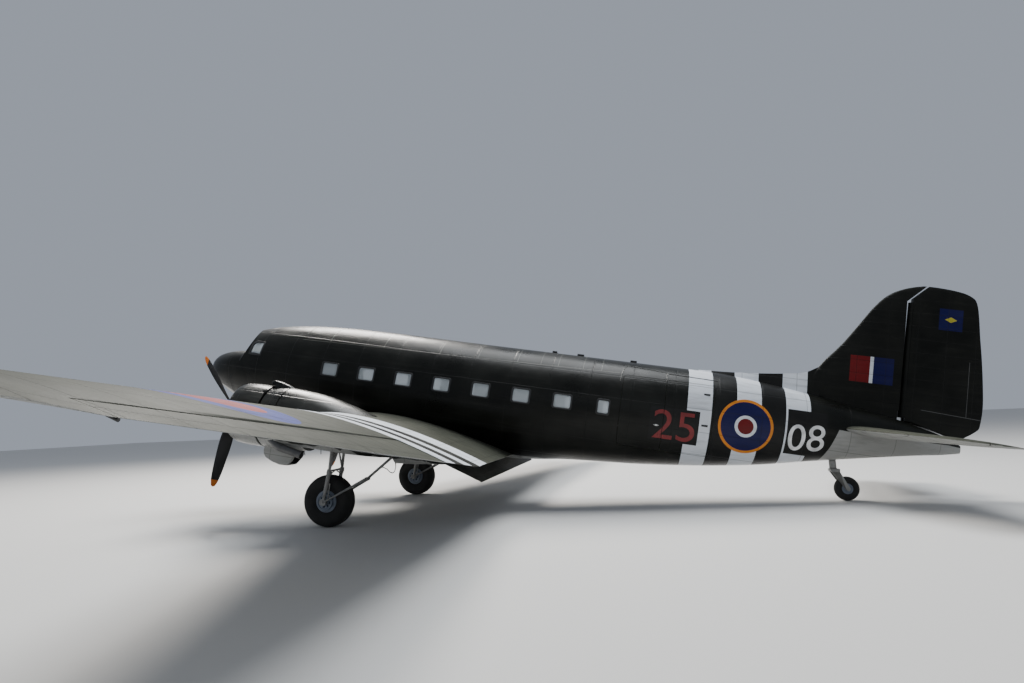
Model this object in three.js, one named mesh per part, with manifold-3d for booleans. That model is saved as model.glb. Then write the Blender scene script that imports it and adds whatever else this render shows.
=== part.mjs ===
// Twin-engine military transport plane, standing on its gear with the tail down.
// Built level first: X to port, Y aft of the nose tip, Z up from the fuselage datum, in millimetres.
// The last section tips the finished airframe on to its three wheels and centres it on the ground.

import * as THREE from 'three'
import { mergeVertices } from 'three/addons/utils/BufferGeometryUtils.js'
import Module from 'manifold-3d'

const wasm = await Module()
wasm.setup()

// Driving dimensions

const SEAT_GAP = 0.3            // between pieces that rest on each other
const MOVING_GAP = 8            // around control surfaces and doors
const AXLE_PLAY = 1             // between an axle and its faceted bore
const WALL = 60                 // skin, frames and lining together
const ROUND = 28                // facets round the fuselage

// station aft, top, bottom, half width, squareness of the upper half (2 is an ellipse), height of the widest line
const NOSE_STATIONS = [
  [0, -40, -140, 60, 2, -90],
  [50, 90, -260, 200, 2, -85],
  [150, 215, -380, 340, 2, -80],
  [350, 325, -530, 510, 2.1, -60],
  [700, 425, -730, 700, 2.2, 10],
  [1000, 470, -840, 822, 2.4, 65],
  [1020, 472, -842, 824, 2.4, 70],
  [1100, 480, -856, 846, 2.5, 70],
  [1600, 500, -961, 971, 3, 65],
  [2550, 530, -1150, 1125, 3, 60],
]

// station aft, top, bottom, half width
const FUSELAGE_STATIONS = [
  [1000, 1020, -845, 830],
  [1300, 1095, -900, 900],
  [1600, 1175, -965, 975],
  [1880, 1242, -1045, 1040],
  [2400, 1330, -1140, 1125],
  [2950, 1393, -1215, 1190],
  [3500, 1432, -1260, 1235],
  [4200, 1460, -1300, 1245],
  [5600, 1476, -1345, 1245],
  [8500, 1470, -1345, 1245],
  [9500, 1470, -1270, 1245],
  [10200, 1470, -1165, 1245],
  [11100, 1470, -1080, 1240],
  [12000, 1470, -1000, 1200],
  [13000, 1470, -880, 1120],
  [13700, 1460, -780, 1040],
  [14300, 1415, -680, 950],
  [15000, 1340, -545, 840],
  [15700, 1250, -380, 720],
  [16500, 1120, -205, 580],
  [17300, 985, -35, 450],
  [18100, 820, 130, 300],
  [18700, 655, 240, 160],
  [19040, 500, 320, 50],
]
const tailEnd = FUSELAGE_STATIONS.at(-1)[0]

const nose = { break: 1000, deckBack: 2550, deckInset: 4 }
const cabin = { front: 2950, back: 13700, roofLine: 1200, sill: -620, floorTop: -580 }
const cockpit = { floor: -500, front: 1280 }

// The windscreen is a shallow V of two raked planes; these three points lie on the port one.
const windscreen = {
  postFoot: new THREE.Vector3(0, 1080, 480),
  postHead: new THREE.Vector3(0, 1328, 1030),
  outerFoot: new THREE.Vector3(880, 1485, 480),
  pane: { inner: 45, outer: 640, foot: 80, head: 520 },
}
// corners of the cockpit side window, aft and up
const SIDE_WINDOW = [[1625, 410], [2000, 400], [2010, 735], [1720, 745], [1632, 680]]

const cabinWindows = {
  first: 4160, pitch: 1000, count: 7, height: 270, width: 430, tall: 330, last: 11120, lastWidth: 280,
}

const cargoDoor = { front: 11500, split: 12500, back: 13600, foot: -550, head: 1100, corner: 90, bevel: 30 }
const cargoHinge = { front: 1262, rear: 1090, radius: 18, heights: [-220, 180, 830] }

const wing = {
  joint: 4100, leading: 4800, trailing: 9050, trailingZ: -1200, rise: 250, thickness: 655, camber: 0.02,
}
// Outer panel: distance out, leading edge, trailing edge, height of trailing edge, rise of the leading edge over it,
// thickness
const OUTER_PANEL = [
  [wing.joint, wing.leading, wing.trailing, wing.trailingZ, wing.rise, wing.thickness],
  [12920, 7243, 9050, -180, 67, 157],
  [13500, 7404, 9050, -85, 58, 124],
  [14050, 7600, 8990, -22, 49, 97],
  [14380, 7840, 8830, 16, 35, 64],
  [14555, 8240, 8560, 36, 11, 19],
]
const aileron = { inner: 6450, outer: 12900, hingeInner: 8250, hingeOuter: 8730, pin: 12, gap: 12 }
const flap = { hinge: 8150, barrel: 12, edge: 8, centreHalf: 3780, cutBack: 700, lowered: 27 }
const outerFlap = { inner: 4130, outer: 6330 }

// Tailplane and elevator together: distance out, leading edge, trailing edge, height, rise, thickness
const TAILPLANE = [
  [150, 16400, 18660, 530, 0, 226],
  [3100, 17160, 18560, 530, 0, 126],
  [3750, 17400, 18440, 530, 0, 83],
  [4000, 17620, 18240, 530, 0, 43],
  [4060, 17820, 18020, 530, 0, 12],
]
const elevator = { hinge: 17720, inner: 420, innerSlope: 0.42 }
// Rounded nose of the elevator about its hinge: distance out, radius
const ELEVATOR_NOSE = [[420, 84], [3100, 59], [3750, 39], [3960, 22]]

// Fin and rudder together: height, leading edge, trailing edge, thickness
const FIN = [
  [660, 16900, 19080, 200],
  [800, 16500, 19270, 230],
  [940, 16200, 19400, 260],
  [1430, 15750, 19440, 270],
  [1910, 15960, 19410, 255],
  [2510, 16420, 19350, 225],
  [3010, 16745, 19285, 200],
  [3600, 17140, 19215, 165],
  [3830, 17390, 19150, 140],
  [3960, 17650, 18960, 110],
  [4030, 17880, 18640, 70],
  [4060, 18030, 18340, 40],
]
// finEdge is the fin's rear edge, from whose head at top the gap over the rudder slopes up aft
const rudder = {
  hinge: 17835, finEdge: 17705, top: 3660, slope: 0.98, foot: 960, noseFoot: 112, noseTop: 78, slot: 48,
}
// Dorsal ridge: station, top, half width at its foot
const DORSAL = [[13250, 1492, 40], [14030, 1530, 50], [15140, 1640, 62], [15640, 1725, 70], [16000, 1930, 70]]

const engine = { out: 2820, axisZ: -985, front: 3150 }
// Nacelle: station, top, bottom, half width
const NACELLE = [
  [3800, -312, -1668, 668],
  [4220, -275, -1690, 690],
  [5000, -330, -1602, 680],
  [5500, -425, -1602, 655],
  [6100, -575, -1596, 590],
  [6700, -750, -1580, 490],
  [7300, -920, -1520, 370],
  [8020, -1110, -1420, 200],
]
// Side outline of the air scoop on top of the nacelle, aft and up
const SCOOP = [[3665, -262], [3680, -135], [3760, -128], [3950, -165], [4220, -265], [4330, -345], [4330, -420],
  [3812, -420], [3812, -262]]
const scoop = { width: 280 }
const wheelWell = { half: 360, front: 4850, back: 6950, top: -1280 }
const cowling = { front: 3000, back: 3765, inner: 560, outer: 700, skin: 30 }
const propeller = { station: 2800, seat: 130, radius: 1753, bladeAngles: [40.7, 160.7, 280.7] }
const oilCooler = { width: 400 }
// Side outline of the oil cooler duct, aft and up
const OIL_COOLER = [[3830, -1500], [3810, -1735], [3880, -1880], [4060, -1960], [4250, -2000], [4470, -1990],
  [4560, -1860], [4660, -1560], [4660, -1500]]

// Places on the legs and the drag strut are pairs of station and height
const mainGear = {
  out: 2820, axleY: 5510, axleZ: -2607, tyre: 571.5, width: 430, rim: 203, legOffset: 300, axleRadius: 42, sides: 24,
  head: [5515, -1420], collar: [5540, -1925], linkFoot: [5535, -2040], knee: [6310, -2000], kneeHalf: 110,
  dragHead: [6850, -1400], tubeOffset: 55, hoseRadius: 10,
}
// Brake hose, hanging in a loop from the drag strut into the back of the wheel well, aft and up
const HOSE = [[6600, -1676], [6670, -1692], [6755, -1712], [6830, -1768], [6890, -1778], [6935, -1735], [6945, -1640],
  [6925, -1540], [6912, -1420]]
const tailGear = {
  pivotY: 16440, pivotZ: -240, axleY: 16800, axleZ: -820, tyre: 280, width: 200, rim: 105, axleRadius: 26, sides: 16,
}

// Helpers: closed meshes from rings, and joins and cuts of closed meshes

function meshSolid(geometry) {
  const bare = geometry.clone()
  bare.deleteAttribute('normal')
  bare.deleteAttribute('uv')
  const merged = mergeVertices(bare, 0.01)
  return new wasm.Manifold(new wasm.Mesh({
    numProp: 3,
    vertProperties: Float32Array.from(merged.attributes.position.array),
    triVerts: Uint32Array.from(merged.index.array),
  }))
}

function solidGeometry(solid) {
  const mesh = solid.getMesh()
  const geometry = new THREE.BufferGeometry()
  geometry.setAttribute('position', new THREE.BufferAttribute(Float32Array.from(mesh.vertProperties), 3))
  geometry.setIndex(Array.from(mesh.triVerts))
  geometry.computeVertexNormals()
  return geometry
}

function join(...parts) {
  return parts.reduce((whole, part) => whole.add(part))
}

function cut(whole, ...parts) {
  return parts.reduce((left, part) => left.subtract(part), whole)
}

// triangles of a flat ring of points, whichever way it faces
function capFaces(ring, offset) {
  const normal = new THREE.Vector3()
  ring.forEach((p, i) => {
    const q = ring[(i + 1) % ring.length]
    normal.x += (p.y - q.y) * (p.z + q.z)
    normal.y += (p.z - q.z) * (p.x + q.x)
    normal.z += (p.x - q.x) * (p.y + q.y)
  })
  normal.normalize()
  const along = ring[1].clone().sub(ring[0]).normalize()
  const across = normal.clone().cross(along)
  const flat = ring.map((p) => new THREE.Vector2(p.dot(along), p.dot(across)))
  return THREE.ShapeUtils.triangulateShape(flat, []).map((face) => face.map((i) => i + offset))
}

const runsAlong = (faces, from, to) => faces.some((face) => face.some((v, i) => v === from && face[(i + 1) % 3] === to))
const turnOver = (faces) => faces.map(([a, b, c]) => [a, c, b])

// closed mesh through rings that all have the same number of points
function loft(rings) {
  const count = rings[0].length
  const corners = rings.flat()
  const sides = []
  for (let r = 0; r < rings.length - 1; r++) {
    for (let i = 0; i < count; i++) {
      const a = r * count + i
      const b = r * count + (i + 1) % count
      sides.push([a, b, b + count], [a, b + count, a + count])
    }
  }
  const last = (rings.length - 1) * count
  const firstCap = capFaces(rings[0], 0)
  const lastCap = capFaces(rings[rings.length - 1], last)
  const faces = [
    ...sides,
    ...(runsAlong(firstCap, 0, 1) ? turnOver(firstCap) : firstCap),
    ...(runsAlong(lastCap, last, last + 1) ? lastCap : turnOver(lastCap)),
  ]
  const volume = faces.reduce((total, [a, b, c]) =>
    total + corners[a].dot(corners[b].clone().cross(corners[c])), 0)
  const geometry = new THREE.BufferGeometry().setFromPoints(corners)
  geometry.setIndex((volume > 0 ? faces : turnOver(faces)).flat())
  return geometry
}

function mirrored(geometry) {
  const copy = geometry.clone()
  copy.scale(-1, 1, 1)
  const index = copy.index.array
  for (let i = 0; i < index.length; i += 3) {
    const keep = index[i + 1]
    index[i + 1] = index[i + 2]
    index[i + 2] = keep
  }
  copy.computeVertexNormals()
  return copy
}

function box(x0, x1, y0, y1, z0, z1) {
  const geometry = new THREE.BoxGeometry(x1 - x0, y1 - y0, z1 - z0)
  geometry.translate((x0 + x1) / 2, (y0 + y1) / 2, (z0 + z1) / 2)
  return meshSolid(geometry)
}

function rod(from, to, radius, endRadius = radius, sides = 8) {
  const way = to.clone().sub(from)
  const geometry = new THREE.CylinderGeometry(endRadius, radius, way.length(), sides)
  const turn = new THREE.Quaternion().setFromUnitVectors(new THREE.Vector3(0, 1, 0), way.clone().normalize())
  geometry.applyQuaternion(turn)
  geometry.translate((from.x + to.x) / 2, (from.y + to.y) / 2, (from.z + to.z) / 2)
  return meshSolid(geometry)
}

const point = (x, y, z) => new THREE.Vector3(x, y, z)

// outline given aft and up, drawn out sideways
function sideOutline(corners, x0, x1) {
  const shape = new THREE.Shape(corners.map(([y, z]) => new THREE.Vector2(y, z)))
  return sideShape(shape, x0, x1)
}

function sideShape(shape, x0, x1) {
  const geometry = new THREE.ExtrudeGeometry(shape, { depth: x1 - x0, bevelEnabled: false, curveSegments: 2 })
  geometry.applyMatrix4(new THREE.Matrix4().makeBasis(point(0, 1, 0), point(0, 0, 1), point(1, 0, 0)))
  geometry.translate(x0, 0, 0)
  return meshSolid(geometry)
}

function roundedShape(y0, y1, z0, z1, r) {
  const shape = new THREE.Shape()
  shape.moveTo(y0 + r, z0)
  shape.lineTo(y1 - r, z0)
  shape.absarc(y1 - r, z0 + r, r, -Math.PI / 2, 0)
  shape.lineTo(y1, z1 - r)
  shape.absarc(y1 - r, z1 - r, r, 0, Math.PI / 2)
  shape.lineTo(y0 + r, z1)
  shape.absarc(y0 + r, z1 - r, r, Math.PI / 2, Math.PI)
  shape.lineTo(y0, z0 + r)
  shape.absarc(y0 + r, z0 + r, r, Math.PI, Math.PI * 1.5)
  return shape
}

// outline given out and aft, drawn out upwards
function planOutline(corners, z0, z1) {
  const shape = new THREE.Shape(corners.map(([x, y]) => new THREE.Vector2(x, y)))
  const geometry = new THREE.ExtrudeGeometry(shape, { depth: z1 - z0, bevelEnabled: false })
  geometry.translate(0, 0, z0)
  return meshSolid(geometry)
}

// large block whose one face lies on the plane, standing on the side that the normal points to
function halfSpace(onPlane, normal, size = 6000) {
  const geometry = new THREE.BoxGeometry(size, size, size)
  geometry.translate(0, 0, size / 2)
  geometry.applyQuaternion(new THREE.Quaternion().setFromUnitVectors(point(0, 0, 1), normal.clone().normalize()))
  geometry.translate(onPlane.x, onPlane.y, onPlane.z)
  return meshSolid(geometry)
}

// profile given as radius and distance along the axis, closed on itself or ending on the axis
function turnedAbout(profile, sides) {
  return new THREE.LatheGeometry(profile.map(([r, along]) => new THREE.Vector2(r, along)), sides)
}

const airframe = new THREE.Group()

function paint(color, roughness, metalness = 0) {
  return new THREE.MeshStandardMaterial({ color, roughness, metalness })
}

const finish = {
  olive: paint(0x23261c, 0.42),
  grey: paint(0x8c8f8d, 0.55),
  black: paint(0x0d0d0e, 0.4),
  rubber: paint(0x15140f, 0.85),
  steel: paint(0xa9abab, 0.4, 0.6),
  cabin: paint(0x4d5a45, 0.7),
  seat: paint(0x3b3a30, 0.8),
  engineMetal: paint(0x4a4a48, 0.5, 0.7),
}

function place(name, shape, material, parent = airframe) {
  const geometry = shape instanceof THREE.BufferGeometry ? shape : solidGeometry(shape)
  const mesh = new THREE.Mesh(geometry, material)
  mesh.name = name
  parent.add(mesh)
  return mesh
}

// Fuselage sections

function stationRow(stations, y) {
  const next = stations.findIndex((row) => row[0] >= y)
  if (next <= 0) return [y, ...stations[Math.max(next, 0)].slice(1)]
  const [before, after] = [stations[next - 1], stations[next]]
  const t = (y - before[0]) / (after[0] - before[0])
  return before.map((value, i) => value + t * (after[i] - value))
}

function ovalRing([y, top, bottom, half, square = 2, middle = (top + bottom) / 2], grow = 0) {
  const wide = half + grow
  return Array.from({ length: ROUND }, (_, i) => {
    const angle = (2 * Math.PI * i) / ROUND
    const c = Math.cos(angle)
    const s = Math.sin(angle)
    const power = s > 0 ? 2 / square : 1
    const tall = (s > 0 ? top - middle : middle - bottom) + grow
    return point(wide * Math.sign(c) * Math.abs(c) ** power, y, middle + tall * Math.sign(s) * Math.abs(s) ** power)
  })
}

function hull(stations, from, to, grow = 0) {
  const inside = stations.filter((row) => row[0] > from + 1 && row[0] < to - 1)
  const rows = [stationRow(stations, from), ...inside, stationRow(stations, to)]
  return meshSolid(loft(rows.map((row) => ovalRing(row, grow))))
}

const bigBox = (y0, y1, z0, z1) => box(-3000, 3000, y0, y1, z0, z1)

// Nose and cockpit

function cockpitPieces() {
  const rake = windscreen.postHead.clone().sub(windscreen.postFoot)
  const sweep = windscreen.outerFoot.clone().sub(windscreen.postFoot)
  const portNormal = sweep.clone().cross(rake).normalize()
  const starboardNormal = portNormal.clone().multiply(point(-1, 1, 1))
  const ahead = (inset) => [portNormal, starboardNormal].map((normal) =>
    halfSpace(windscreen.postFoot.clone().addScaledVector(normal, -inset), normal))
  const canopy = cut(hull(FUSELAGE_STATIONS, nose.break, cabin.front), ...ahead(0))
  const deck = hull(NOSE_STATIONS, nose.break, nose.deckBack, -nose.deckInset)
  const room = (inset) => {
    const inner = hull(FUSELAGE_STATIONS, cockpit.front - 200, cabin.front + 50, -WALL - inset)
    return cut(inner.intersect(bigBox(cockpit.front, cabin.front + 40, cockpit.floor + inset, 2000)),
      ...ahead(WALL + inset))
  }

  // one opening for each windscreen pane, square to its plane
  const { inner: paneIn, outer: paneOut, foot, head } = windscreen.pane
  const up = rake.clone().normalize()
  const paneCut = (side) => {
    const right = up.clone().cross(side > 0 ? portNormal : starboardNormal)
    const shape = new THREE.Shape([
      new THREE.Vector2(side * paneIn, foot), new THREE.Vector2(side * (paneOut + 60), foot),
      new THREE.Vector2(side * paneOut, head - 60), new THREE.Vector2(side * paneIn, head),
    ])
    const geometry = new THREE.ExtrudeGeometry(shape, { depth: 400, bevelEnabled: false })
    geometry.translate(0, 0, -250)
    const turn = new THREE.Matrix4().makeBasis(right, up, right.clone().cross(up))
    geometry.applyMatrix4(turn.setPosition(windscreen.postFoot))
    return meshSolid(geometry)
  }
  const panes = [paneCut(1), paneCut(-1)]
  const sideWindows = sideOutline(SIDE_WINDOW, -1500, 1500)
  const shell = cut(join(canopy, deck), room(0), ...panes, sideWindows)
  place('nose_cap', hull(NOSE_STATIONS, 0, nose.break - SEAT_GAP), finish.olive)
  place('cockpit_shell', shell, finish.olive)

  const panel = room(SEAT_GAP).intersect(bigBox(1420, 1460, cockpit.floor, 420))
  place('instrument_panel', cut(panel, box(-260, 260, 1400, 1500, cockpit.floor - 10, -60)), finish.black)
  const seatProfile = [[2030, -500 + SEAT_GAP], [2450, -500 + SEAT_GAP], [2450, -130], [2590, 560], [2520, 575],
    [2390, -50], [2010, -50], [2010, -130], [2030, -130]]
  for (const [side, name] of [[1, 'left'], [-1, 'right']]) {
    place(`pilot_seat_${name}`, sideOutline(seatProfile, side * 440 - 215, side * 440 + 215), finish.seat)
  }
}

// Cabin: roof, sides, belly, floor, bulkhead and benches

function cabinPieces() {
  const front = cabin.front + SEAT_GAP
  const back = cabin.back - SEAT_GAP
  const inner = hull(FUSELAGE_STATIONS, cabin.front - 40, cabin.back + 40, -WALL)
  const shell = cut(hull(FUSELAGE_STATIONS, front, back), inner)
  place('cabin_roof', shell.intersect(bigBox(front - 10, back + 10, cabin.roofLine + SEAT_GAP, 2000)), finish.olive)

  const band = shell.intersect(bigBox(front - 10, back + 10, cabin.sill + SEAT_GAP, cabin.roofLine))
  const { first, pitch, count, height, width, tall, last, lastWidth } = cabinWindows
  const centres = Array.from({ length: count }, (_, i) => [first + i * pitch, width])
  const holes = [...centres, [last, lastWidth]].map(([y, wide]) =>
    sideShape(roundedShape(y - wide / 2, y + wide / 2, height - tall / 2, height + tall / 2, 50), -2000, 2000))
  const sides = cut(band, ...holes)
  const door = cargoDoor
  const doorway = sideShape(roundedShape(door.front, door.back, door.foot, door.head, door.corner), 100, 2000)
  const portHalf = box(0, 3000, 2000, 14000, -2000, 2000)
  const starboardHalf = box(-3000, 0, 2000, 14000, -2000, 2000)
  place('cabin_side_right', sides.intersect(starboardHalf), finish.olive)

  // the leaves bevel inward at their meeting edge, so each opens past the other
  const gap = MOVING_GAP
  const leafBlock = sideShape(roundedShape(door.front + gap, door.back - gap, door.foot + gap, door.head - gap,
    door.corner - gap), 100, 2000)
  const leafSkin = band.intersect(leafBlock)
  const slope = door.bevel / WALL
  const meet = (side) => [[100, door.split + side * (gap / 2 + slope * 1200)], [1300, door.split + side * gap / 2],
    [2000, door.split + side * gap / 2], [2000, door.split + side * 2000], [100, door.split + side * 2000]]
  const half = (side) => planOutline(side > 0 ? meet(side) : meet(side).reverse(), -1000, 1500)
  // each hinge: a knuckle and arm on the leaf, and a second pair above it on the fuselage side
  const outside = hull(FUSELAGE_STATIONS, 11000, cabin.back - SEAT_GAP, MOVING_GAP)
  const bite = hull(FUSELAGE_STATIONS, 11000, cabin.back - SEAT_GAP, -20)
  const arm = (x, y0, y1, z0, z1, keep) => cut(box(x - 300, x, Math.min(y0, y1), Math.max(y0, y1), z0, z1), keep)
  const knuckle = (x, y, z0, z1) => rod(point(x, y, z0), point(x, y, z1), cargoHinge.radius)
  const leafHinges = (x, y, inward) => cargoHinge.heights.flatMap((z) => [
    knuckle(x, y, z - 70, z + 30), arm(x, y, y + 60 * inward, z - 60, z + 20, bite)])
  const sideHinges = (x, y, inward) => cargoHinge.heights.flatMap((z) => [
    knuckle(x, y, z + 30 + SEAT_GAP, z + 90), arm(x, y, y - 80 * inward, z + 40, z + 80, outside),
    arm(x, y - 20 * inward, y - 80 * inward, z + 40, z + 80, bite)])
  const hinges = [[cargoHinge.front, door.front + gap + 6, 1], [cargoHinge.rear, door.back - gap - 6, -1]]
  place('cabin_side_left', join(cut(sides.intersect(portHalf), doorway), ...hinges.flatMap((h) => sideHinges(...h))),
    finish.olive)
  place('cargo_door_front', join(leafSkin.intersect(half(-1)), ...leafHinges(...hinges[0])), finish.olive)
  place('cargo_door_rear', join(leafSkin.intersect(half(1)), ...leafHinges(...hinges[1])), finish.olive)

  const belly = shell.intersect(bigBox(front - 10, back + 10, -2000, cabin.sill))
  place('belly_front', belly.intersect(bigBox(front - 10, wing.leading - 50 - SEAT_GAP, -2000, 2000)), finish.grey)
  place('belly_rear', belly.intersect(bigBox(9300 + SEAT_GAP, back + 10, -2000, 2000)), finish.grey)

  const inside = hull(FUSELAGE_STATIONS, cabin.front + 5, cabin.back - 5, -WALL - SEAT_GAP)
  place('cabin_floor', inside.intersect(bigBox(front + 5, back - 5, cabin.sill + SEAT_GAP, cabin.floorTop)),
    finish.cabin)
  const bulkhead = inside.intersect(bigBox(cabin.front + 10, cabin.front + 50, cabin.floorTop + SEAT_GAP, 2000))
  place('cockpit_bulkhead', cut(bulkhead, box(-300, 300, 2900, 3100, -700, 1150)), finish.cabin)

  // benches fold down from the side walls, so their outer edges follow the wall
  const benchTop = -140
  const benchX = [720, 1230]
  const sideBox = (side, x0, x1, ...rest) => (side > 0 ? box(x0, x1, ...rest) : box(-x1, -x0, ...rest))
  for (const [side, name, end] of [[1, 'left', 11200], [-1, 'right', 13000]]) {
    const legs = [3700, 5600, 7500, 9400, end - 60].map((y) =>
      sideBox(side, benchX[0] + 20, benchX[0] + 200, y, y + 40, cabin.floorTop + SEAT_GAP, benchTop - 20))
    const seat = sideBox(side, benchX[0], benchX[1], 3640, end, benchTop - 40, benchTop)
    place(`bench_${name}`, join(seat, ...legs).intersect(inside), finish.seat)
  }
}

// Wing sections

// half thickness at a fraction of the chord, for a section of thickness 1
const foilShare = (t) => 5 * (0.2969 * Math.sqrt(t) - 0.126 * t - 0.3516 * t ** 2 + 0.2843 * t ** 3 - 0.1015 * t ** 4)

function airfoilRing([leading, trailing, edgeZ, rise, thick], at, grow = 0, camber = wing.camber) {
  const chord = trailing - leading
  const fractions = [0, 0.012, 0.05, 0.12, 0.22, 0.36, 0.52, 0.68, 0.84, 1]
  const half = (t) => thick * foilShare(t)
  const mean = (t) => camber * chord * 4 * t * (1 - t) + edgeZ + rise * (1 - t)
  const upper = fractions.map((t) => [t, mean(t) + half(t) + grow]).reverse()
  const lower = fractions.slice(1).map((t) => [t, mean(t) - half(t) - grow])
  return [...upper, ...lower].map(([t, z]) => at(leading - (t === 0 ? grow : 0) + t * chord + (t === 1 ? grow : 0), z))
}

const chordWise = (x) => (y, z) => point(x, y, z)

// half thickness and middle height of a panel at one place
function wingSectionAt(rows, x, y) {
  const next = Math.max(rows.findIndex((row) => row[0] >= x), 1)
  const [a, b] = [rows[next - 1], rows[next]]
  const t = (x - a[0]) / (b[0] - a[0])
  const [, leading, trailing, edgeZ, rise, thick] = a.map((value, i) => value + t * (b[i] - value))
  const chord = trailing - leading
  const f = (y - leading) / chord
  return { half: thick * foilShare(f), middle: wing.camber * chord * 4 * f * (1 - f) + edgeZ + rise * (1 - f) }
}

const CENTRE_PANEL = [-1, 1].map((side) => [side * wing.joint, ...OUTER_PANEL[0].slice(1)])

function panelLoft(rows, grow = 0, camber = wing.camber) {
  return meshSolid(loft(rows.map(([x, ...section]) => airfoilRing(section, chordWise(x), grow, camber))))
}

// Split flap between two hinge points: the plate in its closed place about its hinge, and the recess over it
function splitFlap(x0, x1, under, trailing, cutBack = 0) {
  const axis = (x) => point(x, flap.hinge, under(x).hingeZ + flap.barrel)
  const [a, b] = [axis(x0), axis(x1)]
  const ends = [[a, x0], [b, x1]].map(([p, x]) => {
    const tail = under(x).edgeZ
    return { p, ring: [point(x, p.y, p.z - flap.barrel), point(x, trailing - 6, tail + 1),
      point(x, trailing - 6, tail + 5), point(x, p.y, p.z + flap.barrel - 2)] }
  })
  const plate = meshSolid(loft(ends.map(({ ring }) => ring)))
  const trimmed = cutBack > 0
    ? plate.intersect(planOutline([[x0, 8000], [x1, 8000], [x1, flap.hinge + 60], [x1 - cutBack, trailing + 100],
      [x0 + cutBack, trailing + 100], [x0, flap.hinge + 60]], -3000, 1000))
    : plate
  const recessRings = [[a, x0 - MOVING_GAP], [b, x1 + MOVING_GAP]].map(([p, x]) => {
    const tail = under(x).edgeZ
    const lift = flap.barrel + MOVING_GAP - 2
    return [point(x, p.y - flap.barrel - SEAT_GAP, p.z - 300), point(x, trailing + 50, tail - 300),
      point(x, trailing + 50, tail + flap.edge), point(x, p.y - flap.barrel - SEAT_GAP, p.z + lift)]
  })
  return { plate: join(trimmed, rod(a, b, flap.barrel)), recess: meshSolid(loft(recessRings)), a, b }
}

function wingPieces() {
  const belly = hull(FUSELAGE_STATIONS, wing.leading - 50, 9300).intersect(bigBox(4000, 10000, -2000, cabin.sill))
  const centreLoft = panelLoft(CENTRE_PANEL)
  const underCentre = (x) => {
    const here = wingSectionAt(CENTRE_PANEL, x, flap.hinge)
    return { hingeZ: here.middle - here.half, edgeZ: wing.trailingZ - 5 }
  }
  const half = flap.centreHalf
  const centreFlap = splitFlap(-half, half, underCentre, wing.trailing, flap.cutBack)
  // behind the nacelles and under the belly the flap needs the same recess
  place('wing_center', join(cut(centreLoft, centreFlap.recess), cut(belly, centreFlap.recess)), finish.olive)

  // the lowered flap hangs from its hinge line
  const pivot = centreFlap.a.clone().add(centreFlap.b).multiplyScalar(0.5)
  const plate = solidGeometry(centreFlap.plate)
  plate.translate(-pivot.x, -pivot.y, -pivot.z)
  const lowered = place('flap_center', plate, finish.grey)
  lowered.position.copy(pivot)
  lowered.rotation.x = -THREE.MathUtils.degToRad(flap.lowered)

  const outer = panelLoft(OUTER_PANEL.map((row, i) => (i === 0 ? [row[0] + SEAT_GAP, ...row.slice(1)] : row)))
  const stretch = (aileron.hingeOuter - aileron.hingeInner) / (aileron.outer - aileron.inner)
  const hingeAt = (x) => {
    const y = aileron.hingeInner + (x - aileron.inner) * stretch
    const here = wingSectionAt(OUTER_PANEL, x, y)
    return { p: point(x, y, here.middle), r: here.half - 2 }
  }
  const [a, b] = [hingeAt(aileron.inner), hingeAt(aileron.outer)]
  const line = b.p.clone().sub(a.p).normalize()
  const along = (end, distance) => end.p.clone().addScaledVector(line, distance)
  // the space between two ribs square to the hinge line, so the turning ends stay clear of them
  const between = (block, inset) => block
    .intersect(halfSpace(along(a, inset), line, 9000))
    .intersect(halfSpace(along(b, -inset), line.clone().negate(), 9000))
  const [inboard, outboard] = [aileron.inner - 300, aileron.outer + 300]
  const behind = (fromInner, fromOuter) => planOutline([[inboard, a.p.y - 300 * stretch + fromInner],
    [outboard, b.p.y + 300 * stretch + fromOuter], [outboard, 9300], [inboard, 9300]], -2500, 1500)
  const opening = between(behind(-a.r - aileron.gap, -b.r - aileron.gap), 0)
  const roundNose = rod(along(a, MOVING_GAP), along(b, -MOVING_GAP), a.r, b.r, 24)
  const pin = (end, way) => rod(along(end, way * SEAT_GAP), along(end, way * 60), aileron.pin)
  const aileronSolid = join(between(outer.intersect(behind(2, 2)), MOVING_GAP), roundNose, pin(a, 1), pin(b, -1))
  const underOuter = (x) => {
    const here = wingSectionAt(OUTER_PANEL, x, flap.hinge)
    const edge = wingSectionAt(OUTER_PANEL, x, wing.trailing - 1)
    return { hingeZ: here.middle - here.half, edgeZ: edge.middle - 5 }
  }
  const sideFlap = splitFlap(outerFlap.inner, outerFlap.outer, underOuter, wing.trailing)
  const panel = cut(outer, opening, sideFlap.recess)
  for (const [side, name] of [[1, 'left'], [-1, 'right']]) {
    const sided = (solid) => (side > 0 ? solidGeometry(solid) : mirrored(solidGeometry(solid)))
    place(`wing_outer_${name}`, sided(panel), finish.olive)
    place(`aileron_${name}`, sided(aileronSolid), finish.olive)
    place(`flap_outer_${name}`, sided(sideFlap.plate), finish.grey)
  }
}

// Tail: solid rear fuselage, fin with dorsal ridge, rudder, tailplanes and elevators

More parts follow.
